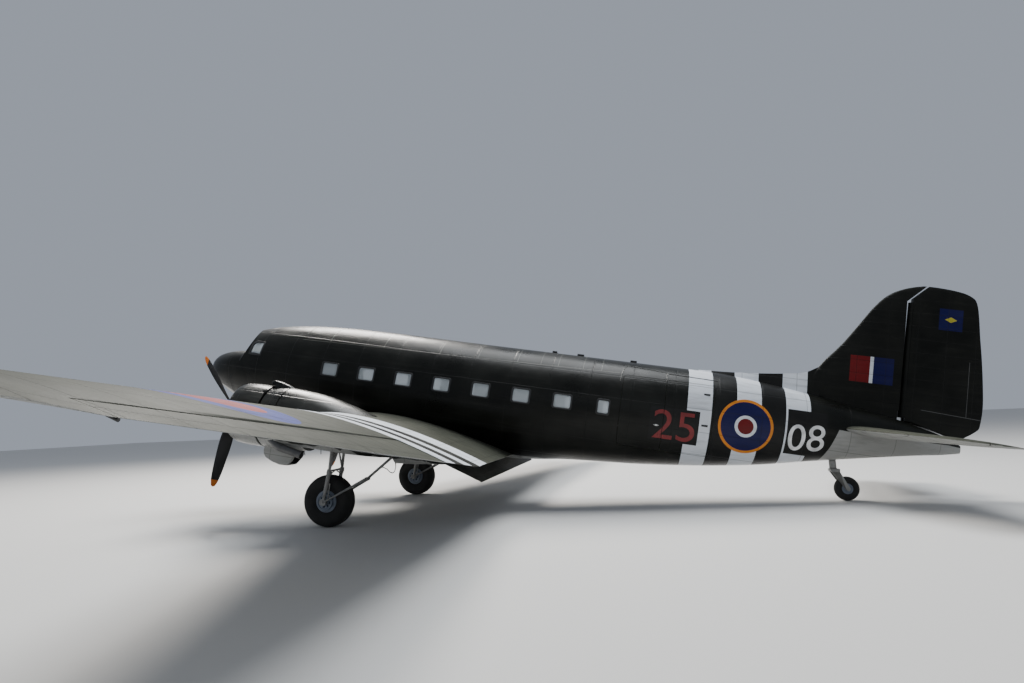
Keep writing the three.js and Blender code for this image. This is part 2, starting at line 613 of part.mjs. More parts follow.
function tailPieces() {
  const grown = (extra) => hull(FUSELAGE_STATIONS, cabin.back - 700, tailEnd, extra)
  const boss = (side) => rod(point(side * 200, elevator.hinge, 530), point(side * 400, elevator.hinge, 530), 55)
  const rudderPost = rod(point(0, rudder.hinge, 700), point(0, rudder.hinge, rudder.foot - SEAT_GAP), 34)
  place('tail_cone', join(hull(FUSELAGE_STATIONS, cabin.back, tailEnd), boss(1), boss(-1), rudderPost), finish.olive)

  const upright = (z) => (y, x) => point(x, y, z)
  const finLoft = meshSolid(loft(FIN.map(([z, leading, trailing, thick]) =>
    airfoilRing([leading, trailing, 0, 0, thick], upright(z), 0, 0))))
  const roundNose = rod(point(0, rudder.hinge, rudder.foot), point(0, rudder.hinge, rudder.top - 2 * MOVING_GAP),
    rudder.noseFoot, rudder.noseTop, 24)
  const slopeAt = (y) => rudder.top + (y - rudder.finEdge) * rudder.slope
  // everything aft of a line and at least so far under the sloping gap at the fin's head
  const behind = (front, drop) => sideOutline([[front, 400], [19700, 400], [19700, slopeAt(19700) - drop],
    [front, slopeAt(front) - drop]], -500, 500)
  const pin = 20
  const crown = rod(point(0, rudder.hinge, rudder.top - 200),
    point(0, rudder.hinge, slopeAt(rudder.hinge - pin) - SEAT_GAP), pin)
  const rudderBody = cut(finLoft.intersect(behind(rudder.hinge + 2, rudder.slot)), grown(MOVING_GAP * 3.5),
    box(-60, 60, 17500, rudder.hinge + 400, 400, rudder.foot))
  place('rudder', join(rudderBody, roundNose, crown), finish.olive)

  const ridge = meshSolid(loft(DORSAL.map(([y, top, foot]) => {
    const low = stationRow(FUSELAGE_STATIONS, y)[1] - 60
    return [point(foot, y, low), point(12, y, top - 5), point(0, y, top), point(-12, y, top - 5), point(-foot, y, low)]
  })))
  const finBody = cut(finLoft, behind(rudder.finEdge, 0))
  const dorsalFin = cut(join(finBody, ridge), hull(FUSELAGE_STATIONS, 12500, tailEnd, SEAT_GAP),
    box(-500, 500, rudder.finEdge - 30, 19800, 0, 1100))
  place('fin', dorsalFin, finish.olive)

  const plane = panelLoft(TAILPLANE, 0, 0)
  const axis = (x) => point(x, elevator.hinge, 530)
  const roundNoses = ELEVATOR_NOSE.slice(1).map(([x, r], i) => {
    const [innerX, innerR] = ELEVATOR_NOSE[i]
    return rod(axis(innerX), axis(x), innerR, r, 20)
  })
  const slant = elevator.inner + elevator.innerSlope * (18900 - elevator.hinge)
  const region = planOutline([[elevator.inner, elevator.hinge + 2], [4200, elevator.hinge + 2], [4200, 18900],
    [slant, 18900]], 0, 1000)
  const stub = rod(axis(400 + SEAT_GAP), axis(elevator.inner + 60), 40)
  const elevatorBody = join(plane.intersect(region), ...roundNoses, stub)
  const backEdge = ELEVATOR_NOSE.map(([x, r]) => [x, elevator.hinge - r - aileron.gap])
  const notch = planOutline([[0, backEdge[0][1]], ...backEdge, [4200, backEdge[3][1]], [4200, 18900], [0, 18900]],
    0, 1000)
  const fixedPlane = cut(plane, notch, grown(SEAT_GAP))
  for (const [side, name] of [[1, 'left'], [-1, 'right']]) {
    const sided = (solid) => (side > 0 ? solidGeometry(solid) : mirrored(solidGeometry(solid)))
    place(`tailplane_${name}`, sided(fixedPlane), finish.olive)
    place(`elevator_${name}`, sided(elevatorBody), finish.olive)
  }
}

// Power plants: nacelle, cowling, engine, oil cooler and propeller

function bladeGeometry() {
  // distance out, chord, thickness, blade angle in degrees
  const sections = [[90, 120, 110, 60], [260, 150, 90, 52], [450, 240, 62, 44], [800, 290, 42, 34],
    [1200, 270, 28, 26], [1560, 210, 18, 22], [1700, 140, 12, 20], [propeller.radius, 40, 8, 20]]
  return loft(sections.map(([out, chord, thick, pitch]) => {
    const turn = THREE.MathUtils.degToRad(pitch)
    return Array.from({ length: 8 }, (_, i) => {
      const angle = (2 * Math.PI * i) / 8
      const along = (chord / 2) * Math.cos(angle)
      const over = (thick / 2) * Math.sin(angle)
      return point(out, -along * Math.sin(turn) - over * Math.cos(turn), along * Math.cos(turn) - over * Math.sin(turn))
    })
  }))
}

function propellerGeometry() {
  const hub = turnedAbout([[0, -255], [62, -235], [88, -180], [88, -90], [120, -70], [120, 70], [70, 90],
    [70, propeller.seat], [0, propeller.seat]], 20)
  const blades = propeller.bladeAngles.map((angle) => {
    const blade = bladeGeometry()
    blade.rotateY(-THREE.MathUtils.degToRad(angle))
    return meshSolid(blade)
  })
  return solidGeometry(join(meshSolid(hub), ...blades))
}

function engineGeometry() {
  const nosePiece = propeller.station + propeller.seat + SEAT_GAP - engine.front
  const firewall = NACELLE[0][0] - SEAT_GAP - engine.front
  const shroud = cowling.outer - cowling.skin - SEAT_GAP
  const crankcase = turnedAbout([[0, nosePiece], [62, nosePiece], [78, -110], [140, 0], [230, 60], [250, 120],
    [250, firewall], [0, firewall]], 12)
  const baffle = turnedAbout([[0, 330], [shroud, 330], [shroud, 360], [0, 360]], 28)
  const cylinders = Array.from({ length: 7 }, (_, i) => {
    const angle = (2 * Math.PI * i) / 7 + Math.PI / 2
    const at = (r) => point(r * Math.cos(angle), 200, r * Math.sin(angle))
    return rod(at(180), at(590), 92)
  })
  return join(meshSolid(crankcase), meshSolid(baffle), ...cylinders)
}

function cowlingGeometry() {
  const { front, back, inner, outer, skin } = cowling
  const f = front - cowling.front
  const b = back - cowling.front
  return turnedAbout([[inner, f + 60], [inner + 40, f], [inner + 80, f + 30],
    [inner + 115, f + 130], [outer - 5, f + 280], [outer, f + 420], [outer - 6, b], [outer - skin, b],
    [outer - skin, f + 420], [inner + 62, f + 130], [inner, f + 60]], 28)
}

function powerPieces() {
  const nacelleLoft = (grow) => {
    const rings = NACELLE.map(([y, top, bottom, half]) => ovalRing([y, top, bottom, half, 2], grow)
      .map((p) => point(p.x + engine.out, p.y, p.z)))
    return meshSolid(loft(rings))
  }
  const wingBlock = panelLoft(CENTRE_PANEL, SEAT_GAP)
  const well = box(engine.out - wheelWell.half, engine.out + wheelWell.half, wheelWell.front, wheelWell.back, -2200,
    wheelWell.top)
  const intakeScoop = sideOutline(SCOOP, engine.out - scoop.width / 2, engine.out + scoop.width / 2)
  const nacelle = cut(join(nacelleLoft(0), intakeScoop), wingBlock, well)
  const intake = box(engine.out - 150, engine.out + 150, 3700, 4000, -1900, -1740)
  const cooler = cut(sideOutline(OIL_COOLER, engine.out - oilCooler.width / 2, engine.out + oilCooler.width / 2),
    nacelleLoft(SEAT_GAP), intake)
  const prop = propellerGeometry()
  const cowl = cowlingGeometry()
  cowl.deleteAttribute('uv')
  const motor = solidGeometry(engineGeometry())
  for (const [side, name] of [[1, 'left'], [-1, 'right']]) {
    const sided = (solid) => (side > 0 ? solidGeometry(solid) : mirrored(solidGeometry(solid)))
    place(`nacelle_${name}`, sided(nacelle), finish.olive)
    place(`oil_cooler_${name}`, sided(cooler), finish.grey)
    const mount = new THREE.Group()
    mount.position.set(side * engine.out, cowling.front, engine.axisZ)
    airframe.add(mount)
    place(`cowling_${name}`, cowl, finish.olive, mount)
    const block = place(`engine_${name}`, motor, finish.engineMetal, mount)
    block.position.y = engine.front - cowling.front
    const spinner = place(`propeller_${name}`, prop, finish.black, mount)
    spinner.position.y = propeller.station - cowling.front
  }
}

// Landing gear

function wheelGeometry(radius, width, rim, bore, hubHalf, sides) {
  const w = width / 2
  const half = [[bore, hubHalf], [bore + 40, hubHalf], [rim - 15, w * 0.5], [rim, w * 0.8],
    [radius * 0.72, w], [radius * 0.92, w * 0.8], [radius, w * 0.25]]
  const far = half.map(([r, along]) => [r, -along]).reverse()
  return turnedAbout([...half, ...far, half[0]].reverse(), sides)
}

function mainLeg() {
  const g = mainGear
  const at = (dx, [y, z]) => point(g.out + dx, y, z)
  const both = (make) => [-1, 1].map(make)
  const across = (place, half, r) => rod(at(-half, place), at(half, place), r)
  const axle = [g.axleY, g.axleZ]
  const lug = wheelWell.half - SEAT_GAP
  const legs = both((s) => join(rod(at(s * g.legOffset, g.head), at(s * g.legOffset, g.collar), 34),
    rod(at(s * g.legOffset, g.collar), at(s * g.legOffset, axle), 45, 38),
    rod(at(s * (g.legOffset - 32), axle), at(s * (g.legOffset + 32), axle), 75, 75, 10)))
  // an inverted V from the head bar to the collars, and a small one under the bar between the collars
  const braces = both((s) => rod(at(0, g.head), at(s * g.legOffset, g.collar), 20, 20, 6))
  const links = both((s) => rod(at(0, g.collar), at(s * g.legOffset, g.linkFoot), 16, 16, 6))
  // the drag strut's two arms pass the tyre and meet at a knee, from which two tubes run up to the nacelle
  const arms = both((s) => rod(at(s * (g.legOffset + 30), [g.axleY + 40, g.axleZ + 20]), at(s * g.kneeHalf, g.knee), 24))
  const tubes = both((s) => rod(at(s * g.tubeOffset, g.knee), at(s * g.tubeOffset, g.dragHead), 20))
  const route = new THREE.CatmullRomCurve3(HOSE.map((place) => at(g.tubeOffset, place)))
  const section = new THREE.Shape()
  section.absarc(0, 0, g.hoseRadius, 0, 2 * Math.PI)
  const hose = new THREE.ExtrudeGeometry(section, { steps: 24, curveSegments: 6, extrudePath: route })
  return join(...legs, meshSolid(hose), ...braces, ...links, ...arms, ...tubes, across(g.head, lug, 40), across(g.collar, g.legOffset, 24),
    across(axle, g.legOffset + 20, g.axleRadius - AXLE_PLAY), across(g.knee, g.kneeHalf, 28), across(g.dragHead, lug, 32))
}

function gearPieces(groundAngle) {
  const g = mainGear
  const leg = solidGeometry(mainLeg())
  const wheel = wheelGeometry(g.tyre, g.width, g.rim, g.axleRadius, 205, g.sides)
  wheel.rotateZ(-Math.PI / 2)
  for (const [side, name] of [[1, 'left'], [-1, 'right']]) {
    place(`gear_leg_${name}`, side > 0 ? leg : mirrored(leg), finish.steel)
    const tyre = place(`main_wheel_${name}`, wheel, finish.rubber)
    tyre.position.set(side * g.out, g.axleY, g.axleZ)
    tyre.rotation.x = groundAngle + Math.PI / g.sides
  }

  // the tail post stands square to the ground, so the fork swivels without lifting the tail
  const t = tailGear
  const post = new THREE.Group()
  post.position.set(0, t.pivotY, t.pivotZ)
  post.rotation.x = groundAngle
  airframe.add(post)
  const axleFromPost = point(0, t.axleY - t.pivotY, t.axleZ - t.pivotZ).applyAxisAngle(point(1, 0, 0), -groundAngle)
  const collarFoot = -150
  const collar = turnedAbout([[0, collarFoot], [78, collarFoot], [78, -20], [60, 200], [0, 200]], 20)
  const skin = hull(FUSELAGE_STATIONS, cabin.back, tailEnd, SEAT_GAP)
  collar.rotateX(Math.PI / 2)
  const toPost = new THREE.Matrix4().makeRotationX(groundAngle).setPosition(0, t.pivotY, t.pivotZ)
  collar.applyMatrix4(toPost)
  place('tail_post', cut(meshSolid(collar), skin), finish.steel)

  const head = collarFoot - SEAT_GAP
  const arm = 130
  const axle = axleFromPost
  const plateTop = head
  const crown = join(rod(point(0, 0, head), point(0, 0, head - 90), 78, 78, 20),
    box(-arm - 22, arm + 22, -70, 110, plateTop - 90, plateTop - 30))
  const sideArm = (side) => {
    const shape = new THREE.Shape([new THREE.Vector2(-60, plateTop - 90 + 5), new THREE.Vector2(100, plateTop - 85),
      new THREE.Vector2(axle.y + 45, axle.z + 10), new THREE.Vector2(axle.y + 20, axle.z - 45),
      new THREE.Vector2(axle.y - 45, axle.z - 20)])
    return sideShape(shape, side * arm - 18, side * arm + 18)
  }
  const pin = rod(point(-arm, axle.y, axle.z), point(arm, axle.y, axle.z), t.axleRadius - AXLE_PLAY)
  place('tail_fork', join(crown, sideArm(1), sideArm(-1), pin), finish.steel, post)
  const small = wheelGeometry(t.tyre, t.width, t.rim, t.axleRadius, 95, t.sides)
  small.rotateZ(-Math.PI / 2)
  const wheelMesh = place('tail_wheel', small, finish.rubber, post)
  wheelMesh.position.copy(axle)
  wheelMesh.rotation.x = Math.PI / t.sides
}

// Attitude on the ground: each faceted tyre stands on a flat, and the line under both is level
// once the airframe is tipped back

function attitude() {
  const standing = (wheel) => wheel.tyre * Math.cos(Math.PI / wheel.sides)
  const back = tailGear.axleY - mainGear.axleY
  const up = tailGear.axleZ - mainGear.axleZ
  return Math.asin((standing(mainGear) - standing(tailGear)) / Math.hypot(back, up)) + Math.atan2(up, back)
}

const groundAngle = attitude()
cockpitPieces()
cabinPieces()
wingPieces()
tailPieces()
powerPieces()
gearPieces(groundAngle)

airframe.rotation.x = -groundAngle
const plane = new THREE.Group()
plane.add(airframe)
plane.updateMatrixWorld(true)
const reach = new THREE.Box3().setFromObject(plane, true)
plane.position.set(-(reach.min.x + reach.max.x) / 2, -(reach.min.y + reach.max.y) / 2, -reach.min.z)
plane.updateMatrixWorld(true)

export default plane
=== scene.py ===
import math
import bpy
from mathutils import Matrix, Vector


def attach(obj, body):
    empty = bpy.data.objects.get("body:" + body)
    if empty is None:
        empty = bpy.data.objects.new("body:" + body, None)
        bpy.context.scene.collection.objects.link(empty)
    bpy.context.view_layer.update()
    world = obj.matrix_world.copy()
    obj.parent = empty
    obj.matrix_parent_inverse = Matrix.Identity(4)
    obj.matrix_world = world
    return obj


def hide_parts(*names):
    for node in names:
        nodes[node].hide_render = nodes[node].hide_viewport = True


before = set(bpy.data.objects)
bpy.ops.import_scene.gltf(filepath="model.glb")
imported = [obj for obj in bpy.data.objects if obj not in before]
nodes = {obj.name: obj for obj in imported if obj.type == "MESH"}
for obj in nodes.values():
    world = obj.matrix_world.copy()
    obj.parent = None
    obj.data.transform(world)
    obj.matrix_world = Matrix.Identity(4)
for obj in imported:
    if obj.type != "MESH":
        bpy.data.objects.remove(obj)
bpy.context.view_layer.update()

print("frame loaded,", len(nodes), "nodes")

# Pieces are modelled with the aircraft level: x to port, y aft of the nose tip, z up from the datum.
# Each is then tipped back on to its wheels with its place in its mesh.
stance = {"tipBack": 10.458022634, "aft": -9.761922847, "lift": 4.130451884}
levelToGround = (Matrix.Translation((0, stance["aft"], stance["lift"]))
                 @ Matrix.Rotation(-math.radians(stance["tipBack"]), 4, "X"))


def clearSelection():
    if bpy.context.object and bpy.context.object.mode != "OBJECT":
        bpy.ops.object.mode_set(mode="OBJECT")
    bpy.ops.object.select_all(action="DESELECT")


def chooseOnly(*pieces):
    clearSelection()
    for piece in pieces:
        piece.select_set(True)
    bpy.context.view_layer.objects.active = pieces[0]


def editAll(piece):
    chooseOnly(piece)
    bpy.ops.object.mode_set(mode="EDIT")
    bpy.ops.mesh.select_all(action="SELECT")


def endEdit(angle=35):
    bpy.ops.object.mode_set(mode="OBJECT")
    bpy.ops.object.shade_smooth_by_angle(angle=math.radians(angle))


def applyNew(piece, kind, **settings):
    chooseOnly(piece)
    modifier = piece.modifiers.new(kind.lower(), kind)
    for key, value in settings.items():
        setattr(modifier, key, value)
    bpy.ops.object.modifier_apply(modifier=modifier.name)


def joined(name, pieces):
    chooseOnly(*pieces)
    if len(pieces) > 1:
        bpy.ops.object.join()
    whole = bpy.context.object
    whole.name = name
    return whole


def copied(piece, name):
    twin = piece.copy()
    twin.data = piece.data.copy()
    twin.name = name
    bpy.context.scene.collection.objects.link(twin)
    return twin


def mirroredCopy(piece, name):
    twin = copied(piece, name)
    twin.data.transform(Matrix.Diagonal((-1, 1, 1, 1)))
    editAll(twin)
    bpy.ops.mesh.flip_normals()
    bpy.ops.object.mode_set(mode="OBJECT")
    return twin


# A grid whose points are moved to placeAt(u, v), rolled shut where its edges meet
def shapedGrid(name, across, along, placeAt, angle=35, closeEnds=True):
    clearSelection()
    bpy.ops.mesh.primitive_grid_add(x_subdivisions=across, y_subdivisions=along, size=1)
    sheet = bpy.context.object
    sheet.name = name
    for corner in sheet.data.vertices:
        corner.co = placeAt(corner.co.x + 0.5, corner.co.y + 0.5)
    editAll(sheet)
    bpy.ops.mesh.remove_doubles(threshold=0.0002)
    if closeEnds:
        bpy.ops.mesh.select_all(action="DESELECT")
        bpy.ops.mesh.select_non_manifold()
        bpy.ops.mesh.fill_holes(sides=0)
        bpy.ops.mesh.select_all(action="SELECT")
    bpy.ops.mesh.normals_make_consistent(inside=False)
    endEdit(angle)
    return sheet


def throughRings(name, rings, angle=35, closeEnds=True):
    count = len(rings[0])
    last = len(rings) - 1

    def placeAt(u, v):
        return rings[round(v * last)][round(u * count) % count]
    return shapedGrid(name, count, last, placeAt, angle, closeEnds)


def turned(name, profile, centre, sides=48, axis="Y", angle=35, closeEnds=True):
    last = len(profile) - 1

    def placeAt(u, v):
        radius, along = profile[round(v * last)]
        turn = 2 * math.pi * (round(u * sides) % sides) / sides
        a, b = radius * math.cos(turn), radius * math.sin(turn)
        spot = {"Y": (a, along, b), "X": (along, a, b), "Z": (a, b, along)}[axis]
        return Vector(spot) + Vector(centre)
    return shapedGrid(name, sides, last, placeAt, angle, closeEnds)


def rodBetween(name, start, end, radius, endRadius=None, sides=24):
    start, end = Vector(start), Vector(end)
    way = end - start
    clearSelection()
    bpy.ops.mesh.primitive_cone_add(
        vertices=sides, radius1=radius, radius2=radius if endRadius is None else endRadius, depth=way.length,
        location=(start + end) / 2, rotation=way.to_track_quat("Z", "Y").to_euler())
    rod = bpy.context.object
    rod.name = name
    bpy.ops.object.transform_apply(location=True, rotation=True, scale=True)
    bpy.ops.object.shade_smooth_by_angle(angle=math.radians(40))
    return rod


def roundBox(name, low, high, edge=0.01):
    low, high = Vector(low), Vector(high)
    clearSelection()
    bpy.ops.mesh.primitive_cube_add(size=1, location=(low + high) / 2, scale=high - low)
    block = bpy.context.object
    block.name = name
    bpy.ops.object.transform_apply(location=True, rotation=True, scale=True)
    if edge:
        editAll(block)
        bpy.ops.mesh.bevel(offset=edge, segments=2, affect="EDGES")
        endEdit()
    return block


# An outline drawn out along one axis; its corners are given across the other two
def prism(name, outline, axis, low, high):
    clearSelection()
    bpy.ops.mesh.primitive_circle_add(vertices=len(outline), fill_type="NGON")
    block = bpy.context.object
    block.name = name
    for corner, (a, b) in zip(block.data.vertices, outline):
        corner.co = {"X": (low, a, b), "Y": (a, low, b), "Z": (a, b, low)}[axis]
    editAll(block)
    way = {"X": (high - low, 0, 0), "Y": (0, high - low, 0), "Z": (0, 0, high - low)}[axis]
    bpy.ops.mesh.extrude_region_move(TRANSFORM_OT_translate={"value": way})
    bpy.ops.mesh.select_all(action="SELECT")
    bpy.ops.mesh.normals_make_consistent(inside=False)
    bpy.ops.object.mode_set(mode="OBJECT")
    return block


# More corners along an open line or round a closed outline
def finely(points, steps=4, closed=False):
    ends = points + points[:1] if closed else points
    fine = [(a + (c - a) * k / steps, b + (d - b) * k / steps)
            for (a, b), (c, d) in zip(ends, ends[1:]) for k in range(steps)]
    return fine if closed else fine + [points[-1]]


def roundedOutline(a0, a1, b0, b1, r, steps=6):
    outline = []
    for ca, cb, start in ((a1 - r, b0 + r, -90), (a1 - r, b1 - r, 0), (a0 + r, b1 - r, 90),
                          (a0 + r, b0 + r, 180)):
        for step in range(steps + 1):
            turn = math.radians(start + 90 * step / steps)
            outline.append((ca + r * math.cos(turn), cb + r * math.sin(turn)))
    return outline


def carve(piece, cutter, operation="DIFFERENCE"):
    applyNew(piece, "BOOLEAN", operation=operation, object=cutter, solver="EXACT")
    bpy.data.objects.remove(cutter, do_unlink=True)


def sliced(piece, planePoint, normal):
    editAll(piece)
    bpy.ops.mesh.bisect(plane_co=planePoint, plane_no=normal, use_fill=True, clear_outer=True)
    endEdit()


# Smooth curve through a table's rows, its first column the way along
def smoothRows(table, spacing, least=4):
    xs = [row[0] for row in table]

    def slopes(values):
        steps = [(values[i + 1] - values[i]) / (xs[i + 1] - xs[i]) for i in range(len(xs) - 1)]
        tilts = [steps[0]]
        for i in range(1, len(steps)):
            before, after = steps[i - 1], steps[i]
            if before * after <= 0:
                tilts.append(0)
                continue
            w1 = 2 * (xs[i + 1] - xs[i]) + (xs[i] - xs[i - 1])
            w2 = (xs[i + 1] - xs[i]) + 2 * (xs[i] - xs[i - 1])
            tilts.append((w1 + w2) / (w1 / before + w2 / after))
        return tilts + [steps[-1]]

    columns = [list(column) for column in zip(*table)]
    tilts = [slopes(column) for column in columns]
    rows = []
    for i in range(len(xs) - 1):
        wide = xs[i + 1] - xs[i]
        count = max(least, math.ceil(wide / spacing))
        for k in range(count):
            t = k / count
            row = [xs[i] + t * wide]
            for values, lean in zip(columns[1:], tilts[1:]):
                row.append((2 * t ** 3 - 3 * t ** 2 + 1) * values[i]
                           + (t ** 3 - 2 * t ** 2 + t) * wide * lean[i]
                           + (3 * t ** 2 - 2 * t ** 3) * values[i + 1]
                           + (t ** 3 - t ** 2) * wide * lean[i + 1])
            rows.append(row)
    return rows + [list(table[-1])]


def rowAt(rows, x):
    for before, after in zip(rows, rows[1:]):
        if before[0] <= x <= after[0]:
            t = (x - before[0]) / (after[0] - before[0])
            return [a + t * (b - a) for a, b in zip(before, after)]
    return list(rows[0] if x < rows[0][0] else rows[-1])


# Gives a piece its paints and says what it rides on and the nodes it stands for
def dress(piece, name, body, slotName, paints, standsFor=()):
    piece.name = name
    piece.data.name = name
    paints = paints if isinstance(paints, list) else [paints]
    keep = [face.material_index for face in piece.data.polygons]
    piece.data.materials.clear()
    for paint in paints:
        piece.data.materials.append(paint)
    piece.data.polygons.foreach_set("material_index", [min(i, len(paints) - 1) for i in keep])
    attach(piece, body)
    if standsFor:
        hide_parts(*standsFor)


# Puts a level piece on its wheels, then dresses it
def settle(piece, name, body, slotName, paints, standsFor=()):
    chooseOnly(piece)
    piece.matrix_world = levelToGround @ piece.matrix_world
    bpy.ops.object.transform_apply(location=True, rotation=True, scale=True)
    dress(piece, name, body, slotName, paints, standsFor)


# A port piece and its mirror image; body and node names may leave room for the side
def settlePair(piece, name, body, slotName, paints, stands=""):
    for block, side in ((mirroredCopy(piece, name), "right"), (piece, "left")):
        nodesFor = (stands.format(side),) if stands else ()
        settle(block, f"{name}_{side}", body.format(side), slotName, paints, nodesFor)


# Node trees

def link(tree, value, socket):
    if isinstance(value, Wire):
        tree.links.new(value.socket, socket)
    elif isinstance(value, (int, float)):
        socket.default_value = value
    else:
        full = len(value) == 3 and len(socket.default_value) == 4
        socket.default_value = (*value, 1) if full else tuple(value)


def calc(tree, operation, *values, clamp=False):
    node = tree.nodes.new("ShaderNodeMath")
    node.operation = operation
    node.use_clamp = clamp
    for value, socket in zip(values, node.inputs):
        link(tree, value, socket)
    return Wire(tree, node.outputs[0])


# A socket that sums can be written with: each sign adds a math node to its tree
class Wire:
    def __init__(self, tree, socket):
        self.tree = tree
        self.socket = socket

    def __add__(self, other):
        return calc(self.tree, "ADD", self, other)

    def __sub__(self, other):
        return calc(self.tree, "SUBTRACT", self, other)

    def __rsub__(self, other):
        return calc(self.tree, "SUBTRACT", other, self)

    def __mul__(self, other):
        return calc(self.tree, "MULTIPLY", self, other)

    def __truediv__(self, other):
        return calc(self.tree, "DIVIDE", self, other)

    def __gt__(self, other):
        return calc(self.tree, "GREATER_THAN", self, other)

    def __lt__(self, other):
        return calc(self.tree, "LESS_THAN", self, other)

    def __abs__(self):
        return calc(self.tree, "ABSOLUTE", self)

    def ramp(self, low, high, outLow=0.0, outHigh=1.0):
        node = self.tree.nodes.new("ShaderNodeMapRange")
        for value, socket in zip((self, low, high, outLow, outHigh), node.inputs):
            link(self.tree, value, socket)
        return Wire(self.tree, node.outputs[0])

    def stretched(self, scale):
        node = self.tree.nodes.new("ShaderNodeVectorMath")
        node.operation = "MULTIPLY"
        link(self.tree, self, node.inputs[0])
        link(self.tree, scale, node.inputs[1])
        return Wire(self.tree, node.outputs[0])

    def noise(self, scale, detail=4, roughness=0.55):
        node = self.tree.nodes.new("ShaderNodeTexNoise")
        for label, value in (("Vector", self), ("Scale", scale), ("Detail", detail),
                             ("Roughness", roughness)):
            link(self.tree, value, node.inputs[label])
        return Wire(self.tree, node.outputs["Fac"])

    def split(self):
        node = self.tree.nodes.new("ShaderNodeSeparateXYZ")
        link(self.tree, self, node.inputs[0])
        return [Wire(self.tree, socket) for socket in node.outputs]


def greatest(*wires):
    most = wires[0]
    for wire in wires[1:]:
        most = calc(most.tree, "MAXIMUM", most, wire)
    return most


def banded(wire, low, high):
    return (wire > low) * (wire < high)


def inDisc(a, b, centreA, centreB, radius):
    da, db = a - centreA, b - centreB
    return da * da + db * db < radius * radius


# The second colour laid over the first where the mask says so
def over(mask, first, second):
    node = mask.tree.nodes.new("ShaderNodeMix")
    node.data_type = "RGBA"
    for value, socket in zip((mask, first, second), (node.inputs[0], node.inputs[6], node.inputs[7])):
        link(mask.tree, value, socket)
    return Wire(mask.tree, node.outputs[2])


def newGroup(name, inputs, outputs):
    tree = bpy.data.node_groups.new(name, "ShaderNodeTree")
    for way, sockets in (("INPUT", inputs), ("OUTPUT", outputs)):
        for label, kind in sockets.items():
            tree.interface.new_socket(name=label, in_out=way, socket_type="NodeSocket" + kind)
    start = tree.nodes.new("NodeGroupInput")
    end = tree.nodes.new("NodeGroupOutput")
    return tree, {label: Wire(tree, start.outputs[label]) for label in inputs}, end.inputs


def useGroup(tree, group, **values):
    node = tree.nodes.new("ShaderNodeGroup")
    node.node_tree = group
    for label, value in values.items():
        link(tree, value, node.inputs[label])
    return [Wire(tree, socket) for socket in node.outputs]


# Position on the level aircraft, from Object coordinates
def makeLevelGroup():
    tree, given, out = newGroup("levelPlace", {"Object": "Vector"},
                                {"Level": "Vector", "Out": "Float", "Aft": "Float", "Up": "Float"})
    turn = tree.nodes.new("ShaderNodeMapping")
    turn.inputs["Rotation"].default_value = (math.radians(stance["tipBack"]), 0, 0)
    turn.inputs["Location"].default_value = tuple(levelToGround.inverted().translation)
    link(tree, given["Object"], turn.inputs["Vector"])
    level = Wire(tree, turn.outputs[0])
    for wire, label in zip((level, *level.split()), ("Level", "Out", "Aft", "Up")):
        link(tree, wire, out[label])
    return tree


seams = {"line": (0.002, 0.009, 1, 0), "rivetInset": 0.03, "rivetPitch": 0.045, "rivet": (0.003, 0.007, 1, 0)}


# Lapped sheet edges with a row of rivets beside each, on a grid of two distances
def makeSeamGroup():
    tree, given, out = newGroup("sheetSeams", {label: "Float" for label in ("A", "B", "PitchA", "PitchB")},
                                {"Seam": "Float", "Rivet": "Float"})

    def fromLine(distance, pitch):
        cell = distance / pitch
        return abs(cell - calc(tree, "ROUND", cell)) * pitch

    a = fromLine(given["A"], given["PitchA"])
    b = fromLine(given["B"], given["PitchB"])
    link(tree, calc(tree, "MINIMUM", a, b).ramp(*seams["line"]), out["Seam"])
    dots = []
    for near, along in ((a, given["B"]), (b, given["A"])):
        across = near - seams["rivetInset"]
        step = fromLine(along, seams["rivetPitch"])
        dots.append(calc(tree, "SQRT", across * across + step * step).ramp(*seams["rivet"]))
    link(tree, greatest(*dots), out["Rivet"])
    return tree


wear = {
    # each noise's size, detail and roughness
    "cloud": (0.9, 5), "streak": (1.0, 5, 0.65), "speck": (38, 3, 0.7), "ripple": (2.3, 2),
    "streakAlong": (7, 0.7, 7), "rippleAlong": (1.2, 1.0, 1.2),
    # where each shows in its noise, how strongly, and its colour
    "fadeFrom": (0.38, 0.7), "fade": (0.24, 0.24, 0.2),
    "dustFrom": (0.5, 0.8), "dustShare": 0.8, "dust": (0.3, 0.29, 0.25),
    "grimeFrom": (0.5, 0.25), "grimeShare": 0.3, "grime": (0.012, 0.012, 0.01),
    "seamShare": 0.5, "seam": (0.01, 0.01, 0.01),
    "cloudRough": 0.35, "speckRough": 0.16,
    "rippleTall": 0.006, "speckTall": 0.0006, "seamDeep": 0.003, "rivetTall": 0.0015,
}


